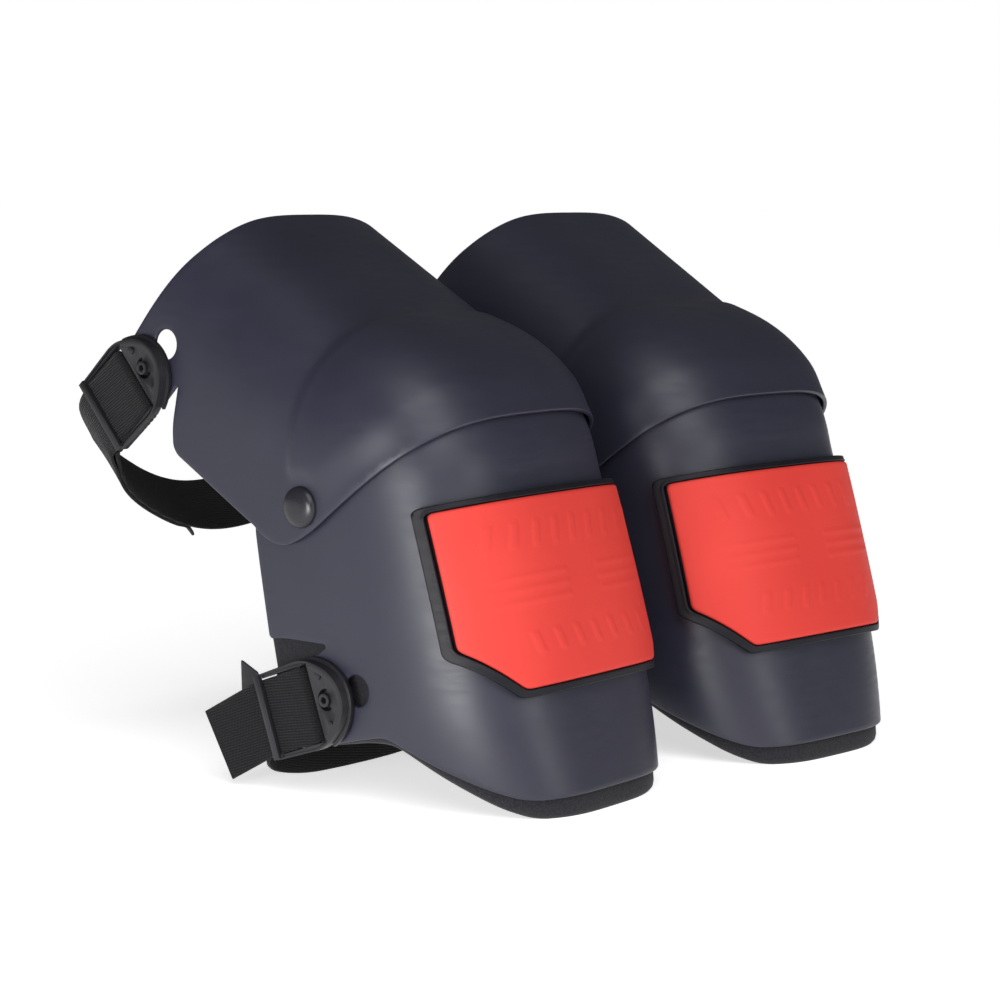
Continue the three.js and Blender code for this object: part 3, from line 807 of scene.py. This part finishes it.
def carve(base, steps):
    """A mesh with others joined to it or cut from it, in order."""
    scene = bpy.context.scene
    body = bpy.data.objects.new("carved", base)
    scene.collection.objects.link(body)
    tools = []
    for operation, mesh in steps:
        tool = bpy.data.objects.new("tool", mesh)
        scene.collection.objects.link(tool)
        tools.append(tool)
        modifier = body.modifiers.new("cut", "BOOLEAN")
        modifier.operation = operation
        modifier.solver = "EXACT"
        modifier.object = tool
    bpy.context.view_layer.update()
    carved = bpy.data.meshes.new_from_object(body.evaluated_get(bpy.context.evaluated_depsgraph_get()))
    for item in [body, *tools]:
        bpy.data.objects.remove(item)
    return carved


def soften(mesh, width, segments=2, angle=32):
    """Rounds the sharp edges of a mesh and gives back its points and faces."""
    work = bmesh.new()
    work.from_mesh(mesh)
    bmesh.ops.remove_doubles(work, verts=work.verts, dist=0.02)
    bmesh.ops.dissolve_limit(work, angle_limit=math.radians(1), verts=work.verts, edges=work.edges)
    sharp = [e for e in work.edges if e.is_manifold and e.calc_face_angle(0) > math.radians(angle)]
    bmesh.ops.bevel(work, geom=sharp, offset=width, offset_type="OFFSET", segments=segments, profile=0.5,
                    affect="EDGES", clamp_overlap=True)
    bmesh.ops.triangulate(work, faces=[face for face in work.faces if len(face.verts) > 4])
    work.verts.index_update()
    points = [tuple(v.co) for v in work.verts]
    faces = [tuple(v.index for v in face.verts) for face in work.faces]
    work.free()
    return np.array(points), faces


def circle(radius, x=0.0, y=0.0, steps=28):
    return [(x + radius * math.cos(2 * math.pi * i / steps), y + radius * math.sin(2 * math.pi * i / steps))
            for i in range(steps)]


def rectangle(x0, x1, half):
    return [(x0, -half), (x1, -half), (x1, half), (x0, half)]


def clip_outline(grow=0.0):
    upper = [(42 + grow * 0.3, 22 + grow), (7, 23 + grow), (-6 - grow, 15 + grow), (-12.5 - grow, 5.5)]
    corners = upper + [(x, -y) for x, y in upper][::-1]
    radii = [2.2, 9, 9, 8, 8, 9, 9, 2.2]
    return rounded(corners, radii, closed=True)


CLIP_HEIGHTS = (2.4, 7.6)        # the under and upper faces of a clip's frame, over the shell
CLIP_FLOOR = 5.2                 # the sunk face of its round end
CLIP_NOSE = (-30, 5.5, 40)       # a rectangle that takes in the whole of the clip's round end
WINDOW = (7.5, 38)               # where the strap goes through, along x
WINDOW_HALF = 19.8               # and half its width across the strap


def clip():
    """A quick-release clip in its own axes: x towards the strap, y across it, z out of the shell."""
    nose = prism(rectangle(*CLIP_NOSE), 0, 13)
    foot = carve(prism(clip_outline(1.6), 0.8, 2.8), [("INTERSECT", nose)])
    recess = carve(prism(clip_outline(-3), CLIP_FLOOR, 12), [("INTERSECT", nose)])
    groove = carve(prism(clip_outline(-1.05), 6.5, 12),
                   [("DIFFERENCE", prism(clip_outline(-1.85), 5, 13)),
                    ("INTERSECT", prism(rectangle(4, 37, 40), 4, 14))])
    steps = [("UNION", foot),
             ("UNION", prism(rectangle(38, 42, 21.6), 6.6, 9.4)),
             ("DIFFERENCE", prism(rectangle(4.5, 8, WINDOW_HALF), CLIP_FLOOR, 12)),
             ("DIFFERENCE", prism(rectangle(*WINDOW, WINDOW_HALF), 0, 12)),
             ("DIFFERENCE", prism(rectangle(37, 44, WINDOW_HALF), 0, 7.2)),
             ("DIFFERENCE", recess),
             ("DIFFERENCE", groove)]
    for index in range(9):
        for sign in (-1, 1):
            notch = prism(circle(0.75, 11 + 3.1 * index, sign * 23.1, 12), 1, 5.2)
            steps.append(("DIFFERENCE", notch))
    steps.append(("UNION", prism(circle(3.4), 4.2, 7.2)))
    latch = [(5.6 * math.cos(a), 5.6 * math.sin(a)) for a in np.linspace(-2.0, 2.0, 26)]
    latch += [(3.5 * math.cos(a), 3.5 * math.sin(a)) for a in np.linspace(2.0, -2.0, 26)]
    steps.append(("DIFFERENCE", prism(latch, 1.2, 12)))
    steps.append(("DIFFERENCE", prism(circle(1.9, steps=6), 3.0, 12)))
    steps.append(("UNION", prism(rectangle(12.4, 16, 20.4), 2.8, 4.6)))
    for sign in (-1, 1):
        steps.append(("UNION", prism(circle(2.0, 1.4, sign * 12.4), 4.2, 6.1)))
    steps.append(("UNION", prism(circle(3.5), -WALL - 1.2, 1.8)))
    steps.append(("UNION", prism(circle(6.2), -WALL - 2.8, -WALL - 0.6)))
    return soften(carve(prism(clip_outline(), *CLIP_HEIGHTS), steps), 0.32)


# ---------- straps ----------

def centripetal(points, count):
    """A centripetal Catmull-Rom curve through the points, evenly spaced."""
    points = [np.array(p, float) for p in points]
    points = [2 * points[0] - points[1], *points, 2 * points[-1] - points[-2]]
    out = []
    for p0, p1, p2, p3 in zip(points, points[1:], points[2:], points[3:]):
        t1 = np.linalg.norm(p1 - p0) ** 0.5
        t2 = t1 + np.linalg.norm(p2 - p1) ** 0.5
        t3 = t2 + np.linalg.norm(p3 - p2) ** 0.5
        for t in np.linspace(t1, t2, 30, endpoint=False):
            a1 = (t1 - t) / t1 * p0 + t / t1 * p1
            a2 = (t2 - t) / (t2 - t1) * p1 + (t - t1) / (t2 - t1) * p2
            a3 = (t3 - t) / (t3 - t2) * p2 + (t - t2) / (t3 - t2) * p3
            b1 = (t2 - t) / t2 * a1 + t / t2 * a2
            b2 = (t3 - t) / (t3 - t1) * a2 + (t - t1) / (t3 - t1) * a3
            out.append((t2 - t) / (t2 - t1) * b1 + (t - t1) / (t2 - t1) * b2)
    out.append(points[-2])
    return resample(out, running_length(out)[-1] / (count - 1))


TOP_LAYER, LOWER_LAYER, FOLD_X = 5.9, 1.5, 12.6
STRAP_STAND_OFF = GAP + STRAP_THICKNESS / 2

# The free run of each strap from its clip to its anchor: the lower as (f, l, u), the upper as
# (t, n, l) up the thigh. The lower tail is in its clip's own axes.
LOWER_LOOP = [
    (-60, -79, -103), (-67, -68, -109), (-67, -48, -114), (-64, -18, -115.5), (-63, 14, -115.5),
    (-62, 44, -113.5), (-59, 65, -109), (-53, 77.5, -103.5), (-44, 81.4, -99), (-36, 81.4, -97.5),
]
UPPER_LOOP = [
    (140.3, -48.5, -82.8), (134.5, -66, -71.5), (126, -81, -47), (121, -90, -18), (120.5, -91, 14),
    (121, -83, 44), (122, -68, 67), (123, -48, 80), (124, -28, 84.3),
]
LOWER_TAIL = [(77, 6.1, 10.0), (64, 3.8, 8.6), (52, 1.6, 7.0), (42, 0, TOP_LAYER)]
LOOP_STEPS = 120


def strap_path(which):
    """The strap's centre line and the direction of its width at each point, in (f, l, u)."""
    seat, anchor = SEATS[which], ANCHORS[which]
    middle = (TOP_LAYER + LOWER_LAYER) / 2
    radius = (TOP_LAYER - LOWER_LAYER) / 2
    fold = [(FOLD_X + radius * math.cos(a), 0, middle + radius * math.sin(a))
            for a in np.linspace(math.pi / 2, 1.5 * math.pi, 13)]
    run = on_seat(seat, [(42, 0, TOP_LAYER), (34, 0, TOP_LAYER - 0.1), (26, 0, TOP_LAYER), *fold,
                         (26, 0, LOWER_LAYER), (42, 0, LOWER_LAYER)])
    end = on_seat(anchor, [(8, 0, STRAP_STAND_OFF), (-8, 0, STRAP_STAND_OFF)], outer=False)
    if which == "lower":
        loop = LOWER_LOOP
    else:
        loop = [(thigh(t, n)[0], l, thigh(t, n)[1]) for t, n, l in UPPER_LOOP]
    free = centripetal([run[-1], *loop, end[0]], LOOP_STEPS + 1)[1:]
    start = seat_axes(seat)[1]
    finish = seat_axes(anchor, outer=False)[1]
    if start @ finish < 0:
        finish = -finish
    turning = [start + (finish - start) * min(1, 1.15 * (i + 1) / LOOP_STEPS) for i in range(LOOP_STEPS)]
    if which == "lower":
        tail = centripetal(on_seat(seat, LOWER_TAIL), 22)[:-1]
        tail_across = [start] * len(tail)
    else:
        tail, tail_across = tail_on_loop(run, free, turning, start, seat)
    path = np.vstack([tail, run, free, end[1:]])
    return path, np.array([*tail_across, *[start] * len(run), *turning, finish])


TAIL_LENGTH = 92                 # the upper strap's tail, with a stub at its end that stands off
STUB_LENGTH = 12


def band_axes(path, across):
    """The direction of a band's width and of its face at each point of its path."""
    tangent = np.gradient(path, axis=0)
    tangent /= np.linalg.norm(tangent, axis=1)[:, None]
    wide = across - (across * tangent).sum(1)[:, None] * tangent
    wide /= np.linalg.norm(wide, axis=1)[:, None]
    return wide, np.cross(tangent, wide)


def tail_on_loop(run, free, turning, start, seat):
    """The upper strap's tail, which lies on the outside of its own loop and ends in a small stub."""
    out = seat_axes(seat)[2]
    band = np.vstack([run[-1:], free])
    across = np.vstack([start, turning])
    length = running_length(band)
    _, thick = band_axes(band, across)
    if thick[0] @ out < 0:
        thick = -thick
    picked = [i for i in range(len(band)) if 3 < length[i] < TAIL_LENGTH][::-1]
    lift = STRAP_THICKNESS + 0.35
    rise = TOP_LAYER - LOWER_LAYER
    points = []
    for i in picked:
        near_clip = 1 - smooth_step(length[i], 0, 26)
        stub = max(0.0, length[i] - TAIL_LENGTH + STUB_LENGTH) ** 2 * 0.05
        points.append(band[i] + thick[i] * (lift + (rise - lift) * near_clip + stub))
    return np.array(points), [across[i] for i in picked]


def band(path, across):
    """A woven band: a closed skin round a path, with its cloth coordinates in metres."""
    half, thick = STRAP_WIDTH / 2, STRAP_THICKNESS / 2
    columns = np.linspace(-half + 0.5, half - 0.5, 15)
    edge = [(half - 0.12, thick * 0.6), (half, 0), (half - 0.12, -thick * 0.6)]
    face = [(x, thick) for x in columns] + edge
    profile = np.array(face + [(-x, -y) for x, y in face])
    path = np.asarray(path, float)
    wide, out = band_axes(path, across)
    run = running_length(path)
    count = len(profile)
    points = path[:, None] + profile[None, :, :1] * wide[:, None] + profile[None, :, 1:] * out[:, None]
    points = points.reshape(-1, 3)
    uv = np.stack([np.tile(profile[:, 0], len(path)), np.repeat(run, count)], axis=1) / 1000
    faces = []
    for k in range(len(path) - 1):
        for i in range(count):
            j = (i + 1) % count
            faces.append((k * count + i, k * count + j, (k + 1) * count + j, (k + 1) * count + i))
    faces.append(tuple(range(count))[::-1])
    faces.append(tuple(range((len(path) - 1) * count, len(path) * count)))
    return points, faces, uv, run[-1]


# ---------- materials ----------

class Nodes:
    """A material's node tree, with a short way to add and join nodes."""

    def __init__(self, name, roughness, specular=0.5):
        self.material = bpy.data.materials.new(name)
        self.material.use_nodes = True
        self.tree = self.material.node_tree
        self.shader = self.tree.nodes["Principled BSDF"]
        self.shader.inputs["Roughness"].default_value = roughness
        self.shader.inputs["Specular IOR Level"].default_value = specular

    def add(self, kind, inputs=None, **settings):
        node = self.tree.nodes.new(kind)
        for key, value in settings.items():
            setattr(node, key, value)
        for key, value in (inputs or {}).items():
            if isinstance(value, bpy.types.NodeSocket):
                self.tree.links.new(value, node.inputs[key])
            else:
                node.inputs[key].default_value = value
        return node

    def math(self, operation, first, second=0.0):
        return self.add("ShaderNodeMath", {0: first, 1: second}, operation=operation).outputs[0]

    def noise(self, place, scale, detail=3.0, roughness=0.55):
        inputs = {"Vector": place, "Scale": scale, "Detail": detail, "Roughness": roughness}
        return self.add("ShaderNodeTexNoise", inputs).outputs["Fac"]

    def ramp(self, value, low, high):
        """Maps a value between two limits onto 0 to 1."""
        inputs = {"Value": value, "From Min": low, "From Max": high}
        return self.add("ShaderNodeMapRange", inputs, clamp=True).outputs["Result"]

    def blend(self, share, first, second):
        return self.add("ShaderNodeMix", {0: share, 6: first, 7: second}, data_type="RGBA").outputs[2]

    def bump(self, height, distance, strength=1.0, normal=None):
        inputs = {"Height": height, "Distance": distance, "Strength": strength}
        if normal is not None:
            inputs["Normal"] = normal
        return self.add("ShaderNodeBump", inputs).outputs["Normal"]

    def finish(self, colour=None, roughness=None, normal=None):
        for key, value in (("Base Color", colour), ("Roughness", roughness), ("Normal", normal)):
            if value is not None:
                self.tree.links.new(value, self.shader.inputs[key])
        return self.material


def place_of(nodes):
    return nodes.add("ShaderNodeTexCoord").outputs["Object"]


def moulded(name, dark, light, roughness, grain, specular):
    """Moulded plastic or rubber: uneven colour, fine grain, and faint scuffs in its gloss."""
    nodes = Nodes(name, roughness, specular)
    spot = place_of(nodes)
    broad = nodes.noise(spot, 14.0, 2.0)
    fine = nodes.noise(spot, 900.0, 2.0)
    upright = nodes.add("ShaderNodeMapping", {"Vector": spot, "Scale": (1, 1, 6)}).outputs[0]
    scuffs = nodes.noise(upright, 60.0, 5.0)
    colour = nodes.blend(nodes.ramp(broad, 0.3, 0.7), dark, light)
    rough = nodes.math("ADD", nodes.math("MULTIPLY", nodes.ramp(scuffs, 0.4, 0.75), 0.09), roughness - 0.03)
    slow = nodes.bump(broad, 0.0006, 0.25)
    return nodes.finish(colour, rough, nodes.bump(fine, 0.00008, grain, slow))


def foam_material():
    """Foam with a pebbled cloth face."""
    nodes = Nodes("liner_foam", 0.95, 0.2)
    spot = place_of(nodes)
    cells = nodes.add("ShaderNodeTexVoronoi", {"Vector": spot, "Scale": 900.0}, feature="F1")
    cells = cells.outputs["Distance"]
    fine = nodes.noise(spot, 2200.0, 2.0)
    broad = nodes.noise(spot, 30.0, 3.0)
    colour = nodes.blend(nodes.ramp(cells, 0.1, 0.75), (0.024, 0.024, 0.029, 1), (0.012, 0.012, 0.015, 1))
    patches = nodes.math("MULTIPLY", nodes.ramp(broad, 0.4, 0.8), 0.35)
    colour = nodes.blend(patches, colour, (0.020, 0.020, 0.024, 1))
    weave = nodes.bump(cells, 0.0003, 0.6)
    nodes.shader.inputs["Sheen Weight"].default_value = 0.08
    nodes.shader.inputs["Sheen Roughness"].default_value = 0.6
    return nodes.finish(colour, None, nodes.bump(fine, 0.0001, 0.5, weave))


RIB_PITCH, PICK_PITCH = 0.0014, 0.0011       # the webbing's weave, in metres
RIB_SLANT, PICK_SLANT = -0.16, 0.5


def webbing_material():
    """Ribbed elastic: slanted ribs along the band crossed by fine picks, with a bound edge."""
    nodes = Nodes("webbing", 0.85, 0.25)
    cloth = nodes.add("ShaderNodeUVMap", uv_map="cloth").outputs["UV"]
    split = nodes.add("ShaderNodeSeparateXYZ", {"Vector": cloth})
    across, along = split.outputs["X"], split.outputs["Y"]
    wobble = nodes.math("MULTIPLY", nodes.noise(cloth, 400.0, 2.0), 0.00035)

    def waves(place, pitch):
        wave = nodes.math("SINE", nodes.math("MULTIPLY", place, 2 * math.pi / pitch))
        return nodes.math("ADD", nodes.math("MULTIPLY", wave, 0.5), 0.5)

    slanted = nodes.math("ADD", across, nodes.math("MULTIPLY", along, RIB_SLANT))
    ribs = waves(nodes.math("ADD", slanted, wobble), RIB_PITCH)
    picks = waves(nodes.math("ADD", along, nodes.math("MULTIPLY", across, PICK_SLANT)), PICK_PITCH)
    edge = nodes.ramp(nodes.math("ABSOLUTE", across), 0.0172, 0.0178)
    crossings = nodes.math("MULTIPLY", nodes.math("MULTIPLY", picks, ribs), 0.6)
    height = nodes.math("ADD", nodes.math("MULTIPLY", ribs, 0.7), crossings)
    fuzz = nodes.noise(cloth, 3000.0, 2.0)
    # Painted shade: the weave is coloured by its own height, so its low grooves are darker than its raised
    # ribs, broken up by fuzz.
    shade = nodes.math("MULTIPLY", height, nodes.ramp(fuzz, 0.2, 0.8))
    colour = nodes.blend(shade, (0.0015, 0.0015, 0.0020, 1), (0.013, 0.013, 0.017, 1))
    colour = nodes.blend(nodes.math("MULTIPLY", edge, 0.6), colour, (0.005, 0.005, 0.006, 1))
    nodes.shader.inputs["Sheen Weight"].default_value = 0.08
    nodes.shader.inputs["Sheen Roughness"].default_value = 0.5
    surface = nodes.bump(height, 0.0004, 0.9)
    return nodes.finish(colour, None, nodes.bump(fuzz, 0.0001, 0.4, surface))


# Darkest and lightest colour, roughness, depth of grain and specular level.
MOULDINGS = {
    "shell_plastic": ((0.019, 0.019, 0.034, 1), (0.024, 0.024, 0.041, 1), 0.42, 0.35, 0.5),
    "insert_rubber": ((0.63, 0.044, 0.034, 1), (0.68, 0.052, 0.040, 1), 0.55, 0.5, 0.22),
    "frame_rubber": ((0.006, 0.006, 0.009, 1), (0.010, 0.010, 0.014, 1), 0.45, 0.5, 0.22),
    "rivet_plastic": ((0.012, 0.012, 0.016, 1), (0.017, 0.017, 0.022, 1), 0.30, 0.3, 0.45),
    "clip_plastic": ((0.007, 0.007, 0.009, 1), (0.012, 0.012, 0.015, 1), 0.36, 0.5, 0.45),
    "tab_leather": ((0.008, 0.008, 0.010, 1), (0.013, 0.013, 0.015, 1), 0.5, 0.8, 0.45),
}
MATERIALS = {name: moulded(name, *look) for name, look in MOULDINGS.items()}
MATERIALS["liner_foam"] = foam_material()
MATERIALS["webbing"] = webbing_material()


# ---------- the two pads ----------

PLATE_BASE = GAP + STRAP_THICKNESS + GAP     # an anchor plate lies on its strap
PLATE_THICKNESS = 2.2
ANCHOR_RIVET_PROFILE = [(0, 2.2), (2.4, 2.0), (4.0, 1.4), (4.9, 0.7), (5.2, 0.1), (5.2, 0), (2.6, 0),
                        (2.6, -9.6), (5.2, -9.6), (5.2, -11.0), (0, -11.0)]
TAB_OUTLINE = [(51.9, -32.2), (59.4, -9.4), (56, -5), (42.8, -5), (42.8, -23.6)]
TAB_HEIGHTS = (3.6, 4.8)


def build_pieces():
    """Each piece of the right pad, straps aside: (name, body, slot, points, faces)."""
    pieces = [
        ("lower_shell", "shin", "shell_plastic", *lower_shell()),
        ("upper_shell", "thigh", "shell_plastic", *upper_shell()),
        ("foam_liner", "shin", "liner_foam", *foam_liner()),
        ("insert_panel", "shin", "insert_rubber", *insert_panel()),
        ("insert_frame", "shin", "frame_rubber", *insert_frame()),
        ("outer_rivet_cap", "shin", "rivet_plastic", *lathe(CAP_PROFILE, 64, True, CAP_BASE)),
        ("inner_rivet_cap", "shin", "rivet_plastic", *lathe(CAP_PROFILE, 64, False, CAP_BASE)),
    ]
    points, faces = clip()
    for which in ("upper", "lower"):
        name = f"{which}_clip"
        pieces.append((name, name, "clip_plastic", on_seat(SEATS[which], points), faces))
    plate_top = PLATE_BASE + PLATE_THICKNESS
    plate = prism(rounded(rectangle(-8.5, 8.5, 21), 3, closed=True), PLATE_BASE, plate_top)
    hole = prism(circle(3.0), 0, 12)
    plate_points, plate_faces = soften(carve(plate, [("DIFFERENCE", hole)]), 0.5)
    for which, body in (("upper", "thigh"), ("lower", "shin")):
        pieces.append((f"{which}_anchor", body, "clip_plastic",
                       on_seat(ANCHORS[which], plate_points, outer=False), plate_faces))
        rivet, rivet_faces = lathe(ANCHOR_RIVET_PROFILE, 40, False, plate_top + GAP)
        local = rivet[:, [0, 2, 1]]
        pieces.append((f"{which}_anchor_rivet", body, "rivet_plastic",
                       on_seat(ANCHORS[which], local, outer=False), [face[::-1] for face in rivet_faces]))
    tab = prism(rounded(TAB_OUTLINE, 0.9, closed=True), *TAB_HEIGHTS)
    tab_points, tab_faces = soften(tab, 0.25)
    tab_points = on_seat(SEATS["lower"], tab_points)
    pieces.append(("lower_strap_tab", "shin", "tab_leather", tab_points, tab_faces))
    return pieces


def lay_on_floor(piece):
    """Soft edges flatten where they rest on the floor."""
    for vertex in piece.data.vertices:
        vertex.co.z = max(vertex.co.z, 0.0)


CUT_PIECES = ("upper_clip", "lower_clip", "lower_anchor", "upper_anchor", "lower_strap_tab")
PIECES = build_pieces()
STRAPS = {which: strap_path(which) for which in ("upper", "lower")}

for side in SIDES:
    for name, body, slot, points, faces in PIECES:
        piece = make(f"{side}_{name}_form", points, faces, side)
        if name in CUT_PIECES:
            piece.data.set_sharp_from_angle(angle=math.radians(48))
        if name == "foam_liner":
            lay_on_floor(piece)
        place(piece, f"{side}_{body}", slot, MATERIALS[slot], f"{side}_{name}")
    for which, body in (("upper", "thigh"), ("lower", "shin")):
        path, across = STRAPS[which]
        points, faces, uv, length = band(path, across)
        piece = make(f"{side}_{which}_strap_band", points, faces, side, uv)
        piece.data.set_sharp_from_angle(angle=math.radians(60))
        if which == "lower":
            lay_on_floor(piece)
        piece.data.materials.append(MATERIALS["webbing"])
        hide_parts(f"{side}_{which}_strap")
        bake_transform(piece)
    for name in ("outer_rivet", "inner_rivet"):
        node = frame["nodes"][f"{side}_{name}"]
        node.data.materials.clear()
        node.data.materials.append(MATERIALS["rivet_plastic"])


# ---------- stage, light and camera ----------

def plane(name, centre, size):
    mesh = bpy.data.meshes.new(name)
    half = size / 2
    corners = [(x, y, 0) for x, y in rectangle(-half, half, half)]
    mesh.from_pydata(corners, [], [(0, 1, 2, 3)])
    piece = bpy.data.objects.new(name, mesh)
    piece.location = centre
    bpy.context.scene.collection.objects.link(piece)
    return piece


def pale_floor():
    floor = plane("floor", (0, 0, 0), 60)
    nodes = Nodes("floor", 0.9, 0.1)
    nodes.shader.inputs["Base Color"].default_value = (0.9, 0.9, 0.9, 1)
    nodes.shader.inputs["Emission Color"].default_value = (1, 1, 1, 1)
    nodes.shader.inputs["Emission Strength"].default_value = 0.62
    floor.data.materials.append(nodes.material)


def area_light(name, place_at, look_at, size, power):
    data = bpy.data.lights.new(name, "AREA")
    data.shape = "RECTANGLE"
    data.size, data.size_y = size
    data.energy = power
    lamp = bpy.data.objects.new(name, data)
    lamp.location = place_at
    lamp.rotation_euler = (Vector(look_at) - Vector(place_at)).to_track_quat("-Z", "Y").to_euler()
    bpy.context.scene.collection.objects.link(lamp)


# The camera's place from the right pad's pivot, in metres along its own axes.
AZIMUTH, ELEVATION = math.radians(-50.57), math.radians(7.06)
CAMERA_REACH, CAMERA_RIGHT, CAMERA_DOWN = 1.2953, 0.04478, 0.00438
CAMERA_LENS, CAMERA_SENSOR = 90, 36
LEVEL = math.cos(ELEVATION)
BACK = Vector((math.sin(AZIMUTH) * LEVEL, -math.cos(AZIMUTH) * LEVEL, math.sin(ELEVATION)))
RIGHT = Vector((math.cos(AZIMUTH), math.sin(AZIMUTH), 0))
UP = BACK.cross(RIGHT)


def set_camera():
    data = bpy.data.cameras.new("camera")
    data.sensor_width = CAMERA_SENSOR
    data.lens = CAMERA_LENS
    camera = bpy.data.objects.new("camera", data)
    pivot = Vector(HINGES["right"]["pos_m"])
    camera.location = pivot + RIGHT * CAMERA_RIGHT - UP * CAMERA_DOWN + BACK * CAMERA_REACH
    turn = Matrix((RIGHT, UP, BACK)).transposed()
    camera.rotation_euler = turn.to_euler()
    bpy.context.scene.collection.objects.link(camera)
    bpy.context.scene.camera = camera


def white_world(scene):
    """A white ground for the camera, and a dimmer sky for the light."""
    world = bpy.data.worlds.new("studio")
    scene.world = world
    world.use_nodes = True
    tree = world.node_tree
    seen = tree.nodes.new("ShaderNodeLightPath").outputs["Is Camera Ray"]
    strength = tree.nodes.new("ShaderNodeMapRange")
    strength.inputs["To Min"].default_value = 0.10
    strength.inputs["To Max"].default_value = 1.0
    tree.links.new(seen, strength.inputs["Value"])
    background = tree.nodes["Background"]
    background.inputs["Color"].default_value = (1, 1, 1, 1)
    tree.links.new(strength.outputs["Result"], background.inputs["Strength"])


def set_light():
    scene = bpy.context.scene
    scene.view_settings.view_transform = "Standard"
    scene.view_settings.look = "None"
    white_world(scene)
    sun = bpy.data.lights.new("sun", "SUN")
    sun.energy = 1.5
    sun.angle = math.radians(50)
    lamp = bpy.data.objects.new("sun", sun)
    lamp.rotation_euler = (BACK * 0.75 + RIGHT * 0.15 + UP * 0.62).to_track_quat("Z", "Y").to_euler()
    scene.collection.objects.link(lamp)
    area_light("side_box", (-0.72, -0.18, 0.06), (-0.15, -0.05, 0.06), (0.28, 0.3), 3.6)
    area_light("front_box", (-0.1, -1.3, 0.35), (0, 0, 0.12), (0.5, 0.6), 3)


pale_floor()
set_light()
set_camera()
